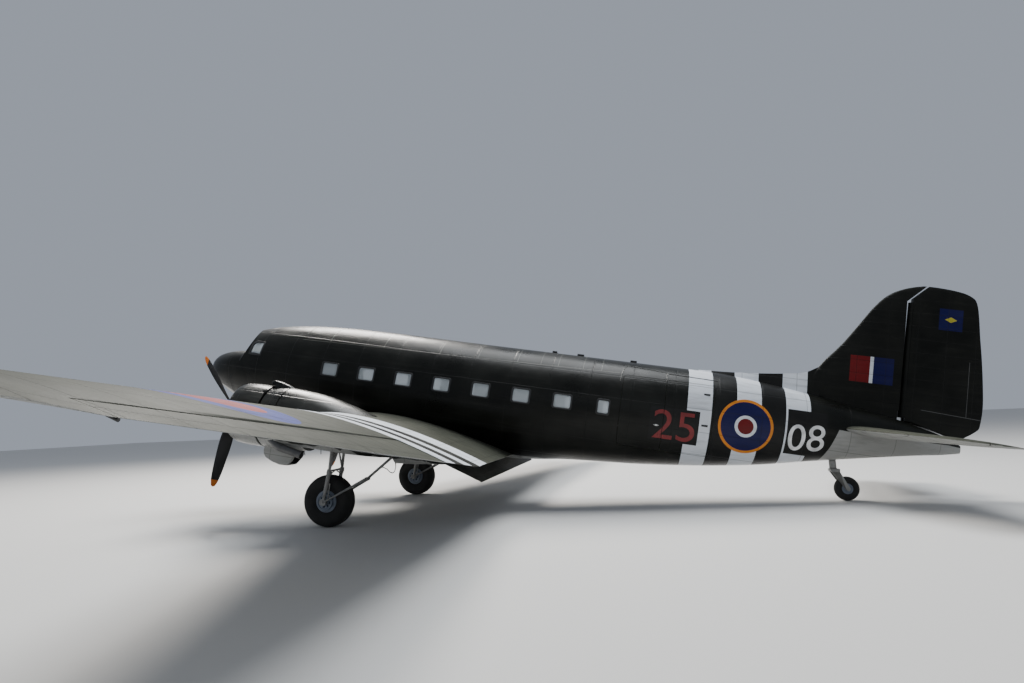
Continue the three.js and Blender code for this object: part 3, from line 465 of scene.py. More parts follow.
# Weathering of painted sheet: fading, streaks along the airflow, and dust
def makeWearGroup():
    tree, given, out = newGroup(
        "weatheredPaint",
        {"Level": "Vector", "Color": "Color", "Seam": "Float", "Rivet": "Float", "Fade": "Float",
         "Gloss": "Float"},
        {"Color": "Color", "Roughness": "Float", "Height": "Float"})
    level, fade = given["Level"], given["Fade"]
    cloud = level.noise(*wear["cloud"])
    streak = level.stretched(wear["streakAlong"]).noise(*wear["streak"])
    speck = level.noise(*wear["speck"])
    colour = over(cloud.ramp(*wear["fadeFrom"]) * fade, given["Color"], wear["fade"])
    colour = over(streak.ramp(*wear["dustFrom"]) * (fade * wear["dustShare"]), colour, wear["dust"])
    colour = over(streak.ramp(*wear["grimeFrom"]) * wear["grimeShare"], colour, wear["grime"])
    link(tree, over(given["Seam"] * wear["seamShare"], colour, wear["seam"]), out["Color"])
    rough = given["Gloss"] + (cloud - 0.5) * wear["cloudRough"]
    rough = calc(tree, "ADD", rough, (speck - 0.5) * wear["speckRough"], clamp=True)
    link(tree, rough, out["Roughness"])
    ripple = level.stretched(wear["rippleAlong"]).noise(*wear["ripple"])
    height = ripple * wear["rippleTall"] + speck * wear["speckTall"]
    height = height - given["Seam"] * wear["seamDeep"] + given["Rivet"] * wear["rivetTall"]
    link(tree, height, out["Height"])
    return tree


levelGroup = makeLevelGroup()
seamGroup = makeSeamGroup()
wearGroup = makeWearGroup()


inputNames = {"colour": "Base Color", "shine": "Specular IOR Level"}


class Paint:
    def __init__(self, name):
        self.material = bpy.data.materials.new(name)
        self.material.use_nodes = True
        self.tree = self.material.node_tree
        self.shader = self.tree.nodes["Principled BSDF"]
        place = self.tree.nodes.new("ShaderNodeTexCoord").outputs
        self.normal = Wire(self.tree, place["Normal"])
        where = Wire(self.tree, place["Object"])
        self.level, self.out, self.aft, self.up = useGroup(self.tree, levelGroup, Object=where)

    def set(self, **values):
        for label, value in values.items():
            link(self.tree, value, self.shader.inputs[inputNames.get(label, label)])

    def bump(self, height):
        node = self.tree.nodes.new("ShaderNodeBump")
        node.inputs["Strength"].default_value = 1.0
        node.inputs["Distance"].default_value = 1.0
        link(self.tree, height, node.inputs["Height"])
        self.tree.links.new(node.outputs[0], self.shader.inputs["Normal"])

    def weather(self, colour, along, across, sheet, fade, gloss):
        seam, rivet = useGroup(self.tree, seamGroup, A=along, B=across, PitchA=sheet[0], PitchB=sheet[1])
        colour, rough, height = useGroup(self.tree, wearGroup, Level=self.level, Color=colour, Seam=seam,
                                         Rivet=rivet, Fade=fade, Gloss=gloss)
        self.set(colour=colour, Roughness=rough)
        self.bump(height)
        return self.material


colours = {
    # The olive is set near black, darker than the real olive drab: painted shade of the sides turned from the
    # light
    "olive": (0.0038, 0.0042, 0.0032), "wingTopFadeAndSheen": (0.048, 0.05, 0.038), "grey": (0.3, 0.3, 0.285),
    "black": (0.007, 0.007, 0.007), "white": (0.66, 0.69, 0.73), "blue": (0.006, 0.007, 0.06),
    "red": (0.13, 0.005, 0.007), "yellow": (0.6, 0.2, 0.02), "wingBlueSheen": (0.025, 0.04, 0.24),
    "wingRedSheen": (0.3, 0.03, 0.04), "lap": (0.16, 0.16, 0.14), "badge": (0.42, 0.36, 0.04),
    "tabLine": (0.1, 0.1, 0.1),
}
stripes = {"front": 13.0, "wide": 0.546, "count": 5}
# Pale lines along the lap joints and frames of the upper hull: painted highlight along the seams
lapHighlights = {
    "from": 3.1, "to": 11.4, "rise": (0.95, 1.12), "wide": 0.009, "frameHalf": 0.006, "strength": 0.6,
    "frames": (3.9, 5.4, 6.9, 7.9, 8.9, 9.48, 9.91, 10.52, 10.96),
}
hullMarks = {
    # edge of the grey underside: from aft, to aft, height at each, the highest of the rows. Between nose and
    # tail the edge stays low by the belly's bottom, leaving the belly under the wing near-black olive:
    # painted shade
    "under": [(15.15, 15.78, -1.22, -0.35), (15.72, 16.36, -1.22, 0.47), (0.1, 2.5, -0.33, -1.22)],
    "waves": (0.75, 2), "waveTall": 0.2,
    "blackBoxes": [(12.2, 13.3, -0.32, 0.457), (15.225, 16.1, -0.21, 0.8)],
    "roundel": (14.32, 0.27), "rings": [(0.61, "yellow"), (0.55, "blue"), (0.245, "white"), (0.175, "red")],
}


def striped(p, colour):
    front, wide = stripes["front"], stripes["wide"]
    colour = over(banded(p.aft, front, front + stripes["count"] * wide), colour, colours["black"])
    for k in range(0, stripes["count"], 2):
        start = front + k * wide
        colour = over(banded(p.aft, start, start + wide), colour, colours["white"])
    return colour


def hullPaint(name):
    p = Paint(name)
    wave = (p.level.noise(*hullMarks["waves"]) - 0.5) * hullMarks["waveTall"]
    rise = greatest(*[p.aft.ramp(*row) for row in hullMarks["under"]])
    colour = striped(p, over(p.up < rise + wave, colours["olive"], colours["grey"]))
    boxes = [banded(p.aft, front, back) * banded(p.up, low, high)
             for front, back, low, high in hullMarks["blackBoxes"]]
    colour = over(greatest(*boxes), colour, colours["black"])
    for radius, paint in hullMarks["rings"]:
        colour = over(inDisc(p.aft, p.up, *hullMarks["roundel"], radius), colour, colours[paint])
    # The pale lap and frame lines over the upper hull are painted highlight
    lapLine = p.aft.ramp(lapHighlights["from"], lapHighlights["to"], *lapHighlights["rise"])
    highlightLines = [banded(p.up - lapLine, 0.0, lapHighlights["wide"]) * banded(p.aft, lapHighlights["from"], lapHighlights["to"])]
    for y in lapHighlights["frames"]:
        highlightLines.append(banded(p.aft, y - lapHighlights["frameHalf"], y + lapHighlights["frameHalf"]) * (p.up > lapLine))
    colour = over(greatest(*highlightLines) * lapHighlights["strength"], colour, colours["lap"])
    p.set(shine=0.16)
    return p.weather(colour, p.aft, p.up, sheet=(0.978, 0.52), fade=0.03, gloss=0.33)


finMarks = {
    "flash": (1.655, 2.27), "edges": (16.6, 17.02, 17.095, 17.525),
    "badge": (18.65, 3.32), "badgeHalf": 0.25, "diamond": 0.13,
    # outline of the rudder's tab: rise and start of its top line, that line's ends, and its front line
    "tabLine": (-0.0553, 2.19), "tabAft": (18.16, 19.5), "tabHalf": 0.006, "tabFront": (19.1, 19.11),
    "tabUp": (1.14, 2.4),
}


def finPaint(name):
    p = Paint(name)
    colour = striped(p, colours["olive"])
    tall = banded(p.up, *finMarks["flash"])
    for low, high, paint in zip(finMarks["edges"], finMarks["edges"][1:], ("red", "white", "blue")):
        colour = over(tall * banded(p.aft, low, high), colour, colours[paint])
    aft, up = finMarks["badge"]
    half = finMarks["badgeHalf"]
    square = banded(p.up, up - half, up + half) * banded(p.aft, aft - half, aft + half)
    colour = over(square, colour, colours["blue"])
    colour = over(abs(p.aft - aft) + abs(p.up - up) * 2 < finMarks["diamond"], colour, colours["badge"])
    slope, start = finMarks["tabLine"]
    line = p.up - (p.aft * slope + start)
    low = banded(line, -finMarks["tabHalf"], finMarks["tabHalf"]) * banded(p.aft, *finMarks["tabAft"])
    tab = greatest(low, banded(p.aft, *finMarks["tabFront"]) * banded(p.up, *finMarks["tabUp"]))
    colour = over(tab, colour, colours["tabLine"])
    p.set(shine=0.12)
    return p.weather(colour, p.aft, p.up, sheet=(0.62, 0.31), fade=0.03, gloss=0.4)


wingMarks = {
    "stripes": (3.37, 3.97, 4.55, 5.12, 5.69, 6.27), "roundel": (9.85, 7.38),
    "rings": [(0.96, "wingBlueSheen"), (0.58, "wingRedSheen")],
}


def wingPaint(name, marked=True):
    p = Paint(name)
    outward = abs(p.out)
    lower = p.normal.split()[2] < -0.02
    # The upper wing's colour is far lighter than the hull's olive of the same paint: partly faded paint,
    # partly painted sky sheen
    colour = over(lower, colours["wingTopFadeAndSheen"], colours["grey"])
    if marked:
        marks = wingMarks["stripes"]
        colour = over(banded(outward, marks[0], marks[-1]), colour, colours["black"])
        for low, high in zip(marks[::2], marks[1::2]):
            colour = over(banded(outward, low, high), colour, colours["white"])
        upper = 1 - lower
        # The wing roundel's blue and red are brighter than the hull roundel's: painted sheen on the upper
        # wing
        for radius, paint in wingMarks["rings"]:
            spot = inDisc(outward, p.aft, *wingMarks["roundel"], radius)
            colour = over(spot * upper, colour, colours[paint])
    p.set(shine=0.06)
    return p.weather(colour, outward, p.aft, sheet=(0.61, 0.74), fade=0.14, gloss=0.6)


# Olive above a wavy line, grey below it
def splitPaint(name, line, wave, fade, gloss):
    p = Paint(name)
    edge = (p.level.noise(1.4, 2) - 0.5) * wave + line
    colour = over(p.up < edge, colours["olive"], colours["grey"])
    p.set(shine=0.3)
    return p.weather(colour, p.aft, p.up, sheet=(0.8, 0.45), fade=fade, gloss=gloss)


def plainPaint(name, colour, gloss, metal=0.0, grain=60, bump=0.0006):
    p = Paint(name)
    mottle = p.level.noise(grain, 4)
    dark, light = [tuple(min(1, c * share) for c in colour) for share in (0.75, 1.25)]
    p.set(colour=over(p.level.noise(5, 3).ramp(0.3, 0.7), dark, light), Metallic=metal,
          Roughness=calc(p.tree, "ADD", gloss, (mottle - 0.5) * 0.25, clamp=True))
    p.bump(mottle * bump)
    return p.material


blades = {"tipFrom": 1.6, "black": (0.012, 0.012, 0.013), "tip": (0.55, 0.14, 0.012),
          "bare": (0.16, 0.16, 0.16)}


def bladePaint(name, side):
    p = Paint(name)
    tip = 1 - inDisc(p.out, p.up, side * 2.82, -0.985, blades["tipFrom"])
    colour = over(tip, blades["black"], blades["tip"])
    chips = p.level.noise(14, 5, 0.7).ramp(0.66, 0.72)
    colour = over(chips * 0.35, colour, blades["bare"])
    p.set(colour=colour, Roughness=p.level.noise(22, 3).ramp(0.3, 0.7, 0.3, 0.5))
    p.bump(p.level.noise(40, 2) * 0.0008)
    return p.material


def glassPaint(name):
    p = Paint(name)
    p.set(colour=(0.8, 0.86, 0.88), Roughness=0.08, Alpha=0.34)
    p.material.surface_render_method = "BLENDED"
    return p.material


paintHull = hullPaint("hullPaint")
paintFin = finPaint("finPaint")
paintWing = wingPaint("wingPaint")
paintTailplane = wingPaint("tailplanePaint", False)
paintNacelle = splitPaint("nacellePaint", line=-1.42, wave=0.3, fade=0.1, gloss=0.3)
paintGrey = splitPaint("undersidePaint", line=9, wave=0.1, fade=0.25, gloss=0.5)
paintFlap = splitPaint("flapPaint", line=-9, wave=0.1, fade=0.12, gloss=0.45)
paintCabin = plainPaint("cabinGreen", (0.14, 0.17, 0.1), 0.6)
paintFloor = plainPaint("cabinFloor", (0.33, 0.34, 0.33), 0.45, metal=0.8, grain=24)
paintBench = plainPaint("benchMetal", (0.42, 0.42, 0.4), 0.4, metal=0.7)
paintSeat = plainPaint("seatLeather", (0.06, 0.035, 0.02), 0.55, grain=90, bump=0.002)
paintPanel = plainPaint("panelBlack", (0.015, 0.015, 0.016), 0.6)
paintEngine = plainPaint("engineMetal", (0.1, 0.1, 0.1), 0.5, metal=0.6)
# The gear grey is set darker than the real light grey of the struts: painted shade
paintSteel = plainPaint("gearPaint", (0.22, 0.22, 0.21), 0.42, metal=0.1)
paintHub = plainPaint("hubPaint", (0.16, 0.19, 0.24), 0.45)
paintTyre = plainPaint("tyreRubber", (0.014, 0.0135, 0.013), 0.82, grain=80, bump=0.002)
# Dark paint for frames, dials and small fittings, also laid inside cut hollows as painted shade
paintDarkAndShade = plainPaint("darkFrameAndShade", (0.015, 0.015, 0.015), 0.5)
# Lighter than the hull's olive: painted highlight along the raised door lip and hatch outline
paintLipHighlight = plainPaint("raisedLipHighlight", (0.035, 0.036, 0.03), 0.45)
paintPale = plainPaint("paleEdge", (0.5, 0.5, 0.48), 0.35, metal=0.6)
paintGlass = glassPaint("windowGlass")
paintBlades = {1: bladePaint("bladePaintLeft", 1), -1: bladePaint("bladePaintRight", -1)}
paintRedCode = plainPaint("redNumeral", (0.17, 0.007, 0.008), 0.5)
paintWhiteCode = plainPaint("whiteNumeral", (0.7, 0.7, 0.7), 0.5)
print("paints made")


# Fuselage

fuselage = {
    "round": 80, "spacing": 0.16, "wall": 0.06,
    "nose": [  # aft, top, bottom, half width, squareness of the upper half, height of the widest line
        (0, -0.04, -0.14, 0.06, 2, -0.09), (0.05, 0.09, -0.26, 0.2, 2, -0.085),
        (0.15, 0.215, -0.38, 0.34, 2, -0.08), (0.35, 0.325, -0.53, 0.51, 2.1, -0.06),
        (0.7, 0.425, -0.73, 0.7, 2.2, 0.01), (1.1, 0.48, -0.86, 0.85, 2.5, 0.07),
        (1.6, 0.5, -0.965, 0.975, 3, 0.065), (2.55, 0.53, -1.14, 1.12, 3, 0.06),
    ],
    "body": [  # aft, top, bottom, half width
        (1.0, 1.02, -0.845, 0.83), (1.3, 1.095, -0.9, 0.9), (1.6, 1.175, -0.965, 0.975),
        (1.88, 1.242, -1.045, 1.04), (2.4, 1.33, -1.14, 1.125), (2.95, 1.393, -1.215, 1.19),
        (3.5, 1.432, -1.26, 1.235), (4.2, 1.46, -1.3, 1.245), (5.6, 1.476, -1.345, 1.245),
        (8.5, 1.47, -1.345, 1.245), (9.5, 1.47, -1.27, 1.245), (10.2, 1.47, -1.165, 1.245),
        (11.1, 1.47, -1.08, 1.24), (12.0, 1.47, -1.0, 1.2), (13.0, 1.47, -0.88, 1.12),
        (13.7, 1.46, -0.78, 1.04), (14.3, 1.415, -0.68, 0.95), (15.0, 1.34, -0.545, 0.84),
        (15.7, 1.25, -0.38, 0.72), (16.5, 1.12, -0.205, 0.58), (17.3, 0.985, -0.035, 0.45),
        (18.1, 0.82, 0.13, 0.3), (18.7, 0.655, 0.24, 0.16), (19.04, 0.5, 0.32, 0.05),
    ],
    "end": 19.04,
    # where each length of hull or room begins and ends
    "shell": (1.02, 13.7), "cockpit": (1.28, 2.99), "cabin": (2.97, 13.64), "leafHull": (11.2, 13.69),
    "leafRoom": (11.1, 13.8), "belly": (4.75, 9.3), "bellyTop": -0.62,
    "screenFoot": (0, 1.08, 0.48), "screenNormal": (0.3866, -0.8398, 0.3787), "screenRake": (0, 0.248, 0.55),
    "door": (11.5, 13.6, -0.55, 1.1, 0.09), "doorSplit": 12.5, "doorGap": 0.008, "reach": 0.006,
    "windows": [(4.16 + i, 0.43) for i in range(7)] + [(11.12, 0.28)], "windowUp": 0.27, "windowTall": 0.33,
    "sideWindow": [(1.625, 0.41), (2.0, 0.4), (2.01, 0.735), (1.72, 0.745), (1.632, 0.68)],
    # window frames: distance out from the edge, height over the hull
    "windowStrip": [(-0.022, -0.03), (-0.02, 0.0), (-0.012, 0.006), (0.022, 0.006), (0.028, -0.002)],
    "sideStrip": [(-0.035, -0.05), (-0.03, 0.0), (-0.02, 0.008), (0.03, 0.008), (0.035, -0.002)],
}
bodyRows = smoothRows(fuselage["body"], fuselage["spacing"])
noseRows = smoothRows(fuselage["nose"], 0.12, 5)


def bodyRow(y):
    row = rowAt(bodyRows, y)
    return row + [2, (row[1] + row[2]) / 2]


def sectionRing(row, grow=0.0):
    y, top, bottom, half, square, middle = row
    count = fuselage["round"]
    ring = []
    for i in range(count):
        turn = 2 * math.pi * i / count
        c, s = math.cos(turn), math.sin(turn)
        power = 2 / square if s > 0 else 1
        tall = (top - middle if s > 0 else middle - bottom) + grow
        ring.append(Vector(((half + grow) * math.copysign(abs(c) ** power, c), y,
                            middle + tall * math.copysign(abs(s) ** power, s))))
    return ring


def bodyHull(name, front, back, grow=0.0):
    ys = [front] + [row[0] for row in bodyRows if front + 0.02 < row[0] < back - 0.02] + [back]
    return throughRings(name, [sectionRing(bodyRow(y), grow) for y in ys])


# Half width of the hull at a place on its side
def hullOut(y, z):
    _, top, bottom, half, _, middle = bodyRow(y)
    lift = min(0.999, abs(z - middle) / ((top - bottom) / 2))
    return half * math.sqrt(1 - lift * lift)


def makeShell():
    f = fuselage
    normal = Vector(f["screenNormal"])
    mirroredNormal = Vector((-normal.x, normal.y, normal.z))
    foot = Vector(f["screenFoot"])
    canopy = bodyHull("fuselageShell", *f["shell"])
    for way in (normal, mirroredNormal):
        sliced(canopy, foot, way)
    rings = [sectionRing(row, -0.004 if row[0] > 1.0 else 0) for row in noseRows]
    nose = throughRings("nose", rings)
    carve(canopy, nose, "UNION")
    clean = copied(canopy, "cleanShell")
    cockpit = bodyHull("cockpitRoom", *f["cockpit"], -f["wall"])
    sliced(cockpit, (0, 2, -0.5), (0, 0, -1))
    for way in (normal, mirroredNormal):
        sliced(cockpit, foot - way * f["wall"], way)
    carve(canopy, cockpit)
    carve(canopy, bodyHull("cabinRoom", *f["cabin"], -f["wall"]))
    low, high = f["windowUp"] - f["windowTall"] / 2, f["windowUp"] + f["windowTall"] / 2
    outlines = [roundedOutline(y - wide / 2, y + wide / 2, low, high, 0.05) for y, wide in f["windows"]]
    cutters = [prism("hole", outline, "X", -2, 2) for outline in (*outlines, f["sideWindow"])]
    carve(canopy, joined("holes", cutters))
    front, back, sill, head, corner = f["door"]
    carve(canopy, prism("doorway", roundedOutline(front, back, sill, head, corner), "X", 0.1, 2))
    for side in (1, -1):
        carve(canopy, paneBlock(side, 0.0, -0.3, 0.2))
    return canopy, clean


# Corners of a windscreen pane on its raked plane, out from the centre post and up
screen = {
    "corners": [(0.05, 0.09), (0.68, 0.09), (0.6, 0.5), (0.05, 0.56)],
    # the frame's profile: distance out from the edge, height over the pane's plane
    "frame": [(-0.03, -0.03), (-0.025, 0.01), (0.02, 0.012), (0.03, -0.004)],
}


def screenPoint(side, across, up, proud=0.0):
    normal = Vector(fuselage["screenNormal"])
    rake = Vector(fuselage["screenRake"]).normalized()
    outward = rake.cross(normal).normalized()
    outward = outward if outward.x > 0 else -outward
    spot = Vector(fuselage["screenFoot"]) + outward * across + rake * up + normal * proud
    return Vector((spot.x * side, spot.y, spot.z))


def paneBlock(side, grow, inner, outer):
    corners = screen["corners"]
    centre = (sum(c[0] for c in corners) / 4, sum(c[1] for c in corners) / 4)
    clearSelection()
    bpy.ops.mesh.primitive_cube_add(size=1)
    block = bpy.context.object
    order = {(-1, -1): 0, (1, -1): 1, (1, 1): 2, (-1, 1): 3}
    for v in block.data.vertices:
        a, b = corners[order[(1 if v.co.x > 0 else -1, 1 if v.co.y > 0 else -1)]]
        a += grow * (1 if a > centre[0] else -1)
        b += grow * (1 if b > centre[1] else -1)
        v.co = screenPoint(side, a, b, outer if v.co.z > 0 else inner)
    editAll(block)
    bpy.ops.mesh.normals_make_consistent(inside=False)
    bpy.ops.object.mode_set(mode="OBJECT")
    return block


# Cut pieces take the shading of the shape they were cut from, which is then dropped
def borrowNormals(clean, reach, *pieces):
    for piece in pieces:
        applyNew(piece, "DATA_TRANSFER", object=clean, use_loop_data=True, data_types_loops={"CUSTOM_NORMAL"},
                 loop_mapping="NEAREST_POLYNOR", use_max_distance=True, max_distance=reach)
    bpy.data.objects.remove(clean, do_unlink=True)


# Faces inside the hull take the cabin's paint
def paintInside(piece, deep=0.03):
    for face in piece.data.polygons:
        c = face.center
        if c.y < 1.15:
            continue
        _, top, bottom, half, _, middle = bodyRow(c.y)
        share = math.hypot(c.x / (half - deep), (c.z - middle) / ((top - bottom) / 2 - deep))
        across, aft, up = fuselage["screenNormal"]
        normal = Vector((math.copysign(across, c.x), aft, up))
        if share < 1 and (c - Vector(fuselage["screenFoot"])).dot(normal) < -deep:
            face.material_index = 1


def makeDoorLeaf(isFront):
    f = fuselage
    start, end, sill, head, corner = f["door"]
    gap = f["doorGap"]
    leaf = bodyHull("leaf", *f["leafHull"])
    clean = copied(leaf, "cleanLeaf")
    carve(leaf, bodyHull("inner", *f["leafRoom"], -f["wall"]))
    outline = roundedOutline(start + gap, end - gap, sill + gap, head - gap, corner - gap)
    carve(leaf, prism("block", outline, "X", 0.1, 2), "INTERSECT")
    way = 1 if isFront else -1
    sliced(leaf, (0, f["doorSplit"] - way * gap / 2, 0), (0, way, 0))
    borrowNormals(clean, f["reach"], leaf)
    paintInside(leaf)
    return leaf


# A raised strip that follows an outline on the side of the hull
def hullStrip(name, outline, profile, side=1):
    count = len(outline)
    centre = (sum(p[0] for p in outline) / count, sum(p[1] for p in outline) / count)
    rings = []
    for offset, height in profile:
        ring = []
        for y, z in outline:
            away = Vector((y - centre[0], z - centre[1]))
            grown = away * (1 + offset / max(0.02, away.length))
            a, b = centre[0] + grown.x, centre[1] + grown.y
            ring.append(Vector((side * (hullOut(a, b) + height), a, b)))
        rings.append(ring)
    return throughRings(name, rings, closeEnds=False)


def windowFrames(side):
    f = fuselage
    low, high = f["windowUp"] - f["windowTall"] / 2, f["windowUp"] + f["windowTall"] / 2
    strips, panes = [], []
    for y, wide in f["windows"]:
        outline = roundedOutline(y - wide / 2, y + wide / 2, low, high, 0.05)
        strips.append(hullStrip("frame", outline, f["windowStrip"], side))
        panes.append(windowPane(outline, side))
    return joined("frames", strips), joined("panes", panes)


def windowPane(outline, side, deep=0.022):
    ys = [p[0] for p in outline]
    zs = [p[1] for p in outline]

    def placeAt(u, v):
        y = min(ys) + u * (max(ys) - min(ys))
        z = min(zs) + v * (max(zs) - min(zs))
        return Vector((side * (hullOut(y, z) - deep), y, z))
    pane = shapedGrid("pane", 6, 6, placeAt, closeEnds=False)
    applyNew(pane, "SOLIDIFY", thickness=0.006, offset=0)
    return pane


# The frame round a windscreen pane
def screenFrame(side):
    corners = screen["corners"]
    centre = Vector((sum(c[0] for c in corners) / 4, sum(c[1] for c in corners) / 4))
    rings = []
    for grow, proud in screen["frame"]:
        ring = []
        for spot in finely(corners, closed=True):
            away = Vector(spot) - centre
            spot = centre + away * (1 + grow / away.length)
            ring.append(screenPoint(side, spot.x, spot.y, proud))
        rings.append(ring)
    return throughRings("frame", rings, closeEnds=False)


shell, clean = makeShell()
borrowNormals(clean, fuselage["reach"], shell)
paintInside(shell)
settle(shell, "fuselage_shell", "airframe", "olive_paint", [paintHull, paintCabin],
       ("nose_cap", "cockpit_shell", "cabin_roof", "cabin_side_left", "cabin_side_right", "belly_front",
        "belly_rear"))
tailCone = bodyHull("tailCone", 13.7, fuselage["end"])
settle(tailCone, "rear_fuselage", "airframe", "olive_paint", paintHull, ("tail_cone",))
for place in ("front", "rear"):
    door = "cargo_door_" + place
    leaf = makeDoorLeaf(place == "front")
    settle(leaf, "cargo_leaf_" + place, door, "olive_paint", [paintHull, paintCabin], (door,))
for side, label in ((1, "left"), (-1, "right")):
    frames, panes = windowFrames(side)
    outline = fuselage["sideWindow"]
    sideFrame = hullStrip("frame", finely(outline, 6, True), fuselage["sideStrip"], side)
    for name, rim, pane in (("window_{}s_", frames, panes),
                            ("cockpit_side_{}_", sideFrame, windowPane(outline, side, 0.03)),
                            ("windscreen_{}_", screenFrame(side), paneBlock(side, 0.005, -0.03, -0.022))):
        settle(rim, name.format("frame") + label, "airframe", "olive_paint", paintDarkAndShade)
        settle(pane, name.format("pane") + label, "airframe", "window_glass", paintGlass)
print("fuselage done")


# Wings

wing = {
    "camber": 0.02,
    "outer": [  # distance out, leading edge, trailing edge, its height, rise of the leading edge, thickness
        (4.1, 4.8, 9.05, -1.2, 0.25, 0.655), (12.92, 7.243, 9.05, -0.18, 0.067, 0.157),
        (13.5, 7.404, 9.05, -0.085, 0.058, 0.124), (14.05, 7.6, 8.99, -0.022, 0.049, 0.097),
        (14.38, 7.84, 8.83, 0.016, 0.035, 0.064), (14.555, 8.24, 8.56, 0.036, 0.011, 0.019),
    ],
    "aileron": (6.45, 12.9, 8.25, 8.73), "flapHinge": 8.15, "centreFlap": (-3.78, 3.78),
    "centreTail": (-1.205, -1.205), "outerFlap": (4.13, 6.33), "gap": 0.008, "reach": 0.004,
}


def foilHalf(t, thick):
    return 5 * thick * (0.2969 * math.sqrt(max(0, t)) - 0.126 * t - 0.3516 * t ** 2
                        + 0.2843 * t ** 3 - 0.1015 * t ** 4)


# Points round a wing section, from the trailing edge over the top and back under
def foilRing(leading, trailing, edgeUp, rise, thick, camber, placeAt, steps=30):
    chord = trailing - leading
    shares = [(1 - math.cos(math.pi * k / steps)) / 2 for k in range(steps + 1)]

    def middle(t):
        return camber * chord * 4 * t * (1 - t) + edgeUp + rise * (1 - t)
    upper = [(t, middle(t) + foilHalf(t, thick)) for t in reversed(shares)]
    lower = [(t, middle(t) - foilHalf(t, thick)) for t in shares[1:]]
    return [placeAt(leading + t * chord, z) for t, z in upper + lower]


def wingLoft(name, rows, camber):
    return throughRings(name, [foilRing(*row[1:], camber, lambda y, z, x=row[0]: Vector((x, y, z)))
                               for row in rows], 40)


# Half thickness and height of the middle of the wing at a place on it
def wingPlace(x, y):
    _, leading, trailing, edgeUp, rise, thick = rowAt(wing["outer"], x)
    chord = trailing - leading
    t = (y - leading) / chord
    return foilHalf(t, thick), wing["camber"] * chord * 4 * t * (1 - t) + edgeUp + rise * (1 - t)


def wingRows():
    rows = [wing["outer"][0]] + [tuple(rowAt(wing["outer"], x)) for x in (6, 8, 10, 12)]
    return rows + [tuple(row) for row in smoothRows(wing["outer"][1:], 0.1, 4)]


# Both ends of the aileron's hinge line, each with the half thickness there
def aileronEnds():
    inner, outer, y0, y1 = wing["aileron"]
    ends = []
    for x, y in ((inner, y0), (outer, y1)):
        half, middle = wingPlace(x, y)
        ends.append((Vector((x, y, middle)), half - 0.002))
    return ends


def hingeCone(name, grow, inset):
    (a, r0), (b, r1) = aileronEnds()
    line = (b - a).normalized()
    return rodBetween(name, a + line * inset, b - line * inset, r0 + grow, r1 + grow, 32)


# Everything behind the hinge between two ribs that stand square to the hinge line
def behindHinge(name, inset, back):
    (a, _), (b, _) = aileronEnds()
    line = (b - a).normalized()
    slope = line.y / line.x
    outline = [(a.x - 0.3, a.y - 0.3 * slope + back), (b.x + 0.3, b.y + 0.3 * slope + back)]
    block = prism(name, outline + [(b.x + 0.3, 9.4), (a.x - 0.3, 9.4)], "Z", -2.5, 1.5)
    sliced(block, a + line * inset, -line)
    sliced(block, b - line * inset, line)
    return block


# The recess over a split flap hinged under the wing
def flapRecess(name, x0, x1, hinge0, hinge1, tail0, tail1):
    rings = []
    for x, hinge, edge in ((x0 - 0.008, hinge0, tail0), (x1 + 0.008, hinge1, tail1)):
        corners = ((8.137, hinge - 0.3), (9.1, edge - 0.3), (9.1, edge + 0.008), (8.137, hinge + 0.03))
        rings.append([Vector((x, y, z)) for y, z in corners])
    return throughRings(name, rings)


def outerPanel():
    loft = wingLoft("wingPanel", wingRows(), wing["camber"])
    clean = copied(loft, "cleanWing")
    aileron = copied(loft, "aileron")
    gap = wing["gap"]
    carve(aileron, behindHinge("block", gap, gap / 4 + 0.004), "INTERSECT")
    carve(aileron, hingeCone("nose", 0, gap), "UNION")
    carve(loft, behindHinge("block", 0, 0))
    carve(loft, hingeCone("slot", gap, 0))
    x0, x1 = wing["outerFlap"]
    (h0, m0), (h1, m1) = wingPlace(x0, wing["flapHinge"]), wingPlace(x1, wing["flapHinge"])
    tails = [wingPlace(x, 9.049)[1] - 0.005 for x in (x0, x1)]
    carve(loft, flapRecess("recess", x0, x1, m0 - h0, m1 - h1, *tails))
    borrowNormals(clean, wing["reach"], loft)
    editAll(aileron)
    endEdit(25)
    return loft, aileron


def centrePanel():
    rows = [(x, *wing["outer"][0][1:]) for x in (-4.1, -2, 0, 2, 4.1)]
    loft = wingLoft("wingCentre", rows, wing["camber"])
    clean = copied(loft, "cleanWing")
    half, middle = wingPlace(4.1, wing["flapHinge"])
    recess = (*wing["centreFlap"], middle - half, middle - half, *wing["centreTail"])
    carve(loft, flapRecess("recess", *recess))
    borrowNormals(clean, wing["reach"], loft)
    belly = bodyHull("belly", *fuselage["belly"])
    sliced(belly, (0, 0, fuselage["bellyTop"]), (0, 0, 1))
    carve(belly, flapRecess("recess", *recess))
    return loft, belly


def smoothNode(node, name, angle=30):
    source = nodes[node]
    twin = source.copy()
    twin.data = source.data.copy()
    twin.name = name
    twin.parent = None
    for key in list(twin.keys()):
        del twin[key]
    bpy.context.scene.collection.objects.link(twin)
    editAll(twin)
    bpy.ops.mesh.remove_doubles(threshold=0.00002)
    endEdit(angle)
    return twin


outer, aileron = outerPanel()
settlePair(outer, "wing_panel", "airframe", "olive_paint", paintWing, "wing_outer_{}")
settlePair(aileron, "aileron_skin", "aileron_{}", "olive_paint", paintWing, "aileron_{}")
centre, belly = centrePanel()
settle(centre, "wing_centre_panel", "airframe", "olive_paint", paintWing, ("wing_center",))
# The belly under the wing takes the hull paint, near-black olive above the low grey edge: painted shade
settle(belly, "wing_belly", "airframe", "grey_paint", paintHull)
for node in ("flap_center", "flap_outer_left", "flap_outer_right"):
    dress(smoothNode(node, node), node + "_skin", node, "olive_paint", paintFlap, (node,))
print("wings done")


# Tail

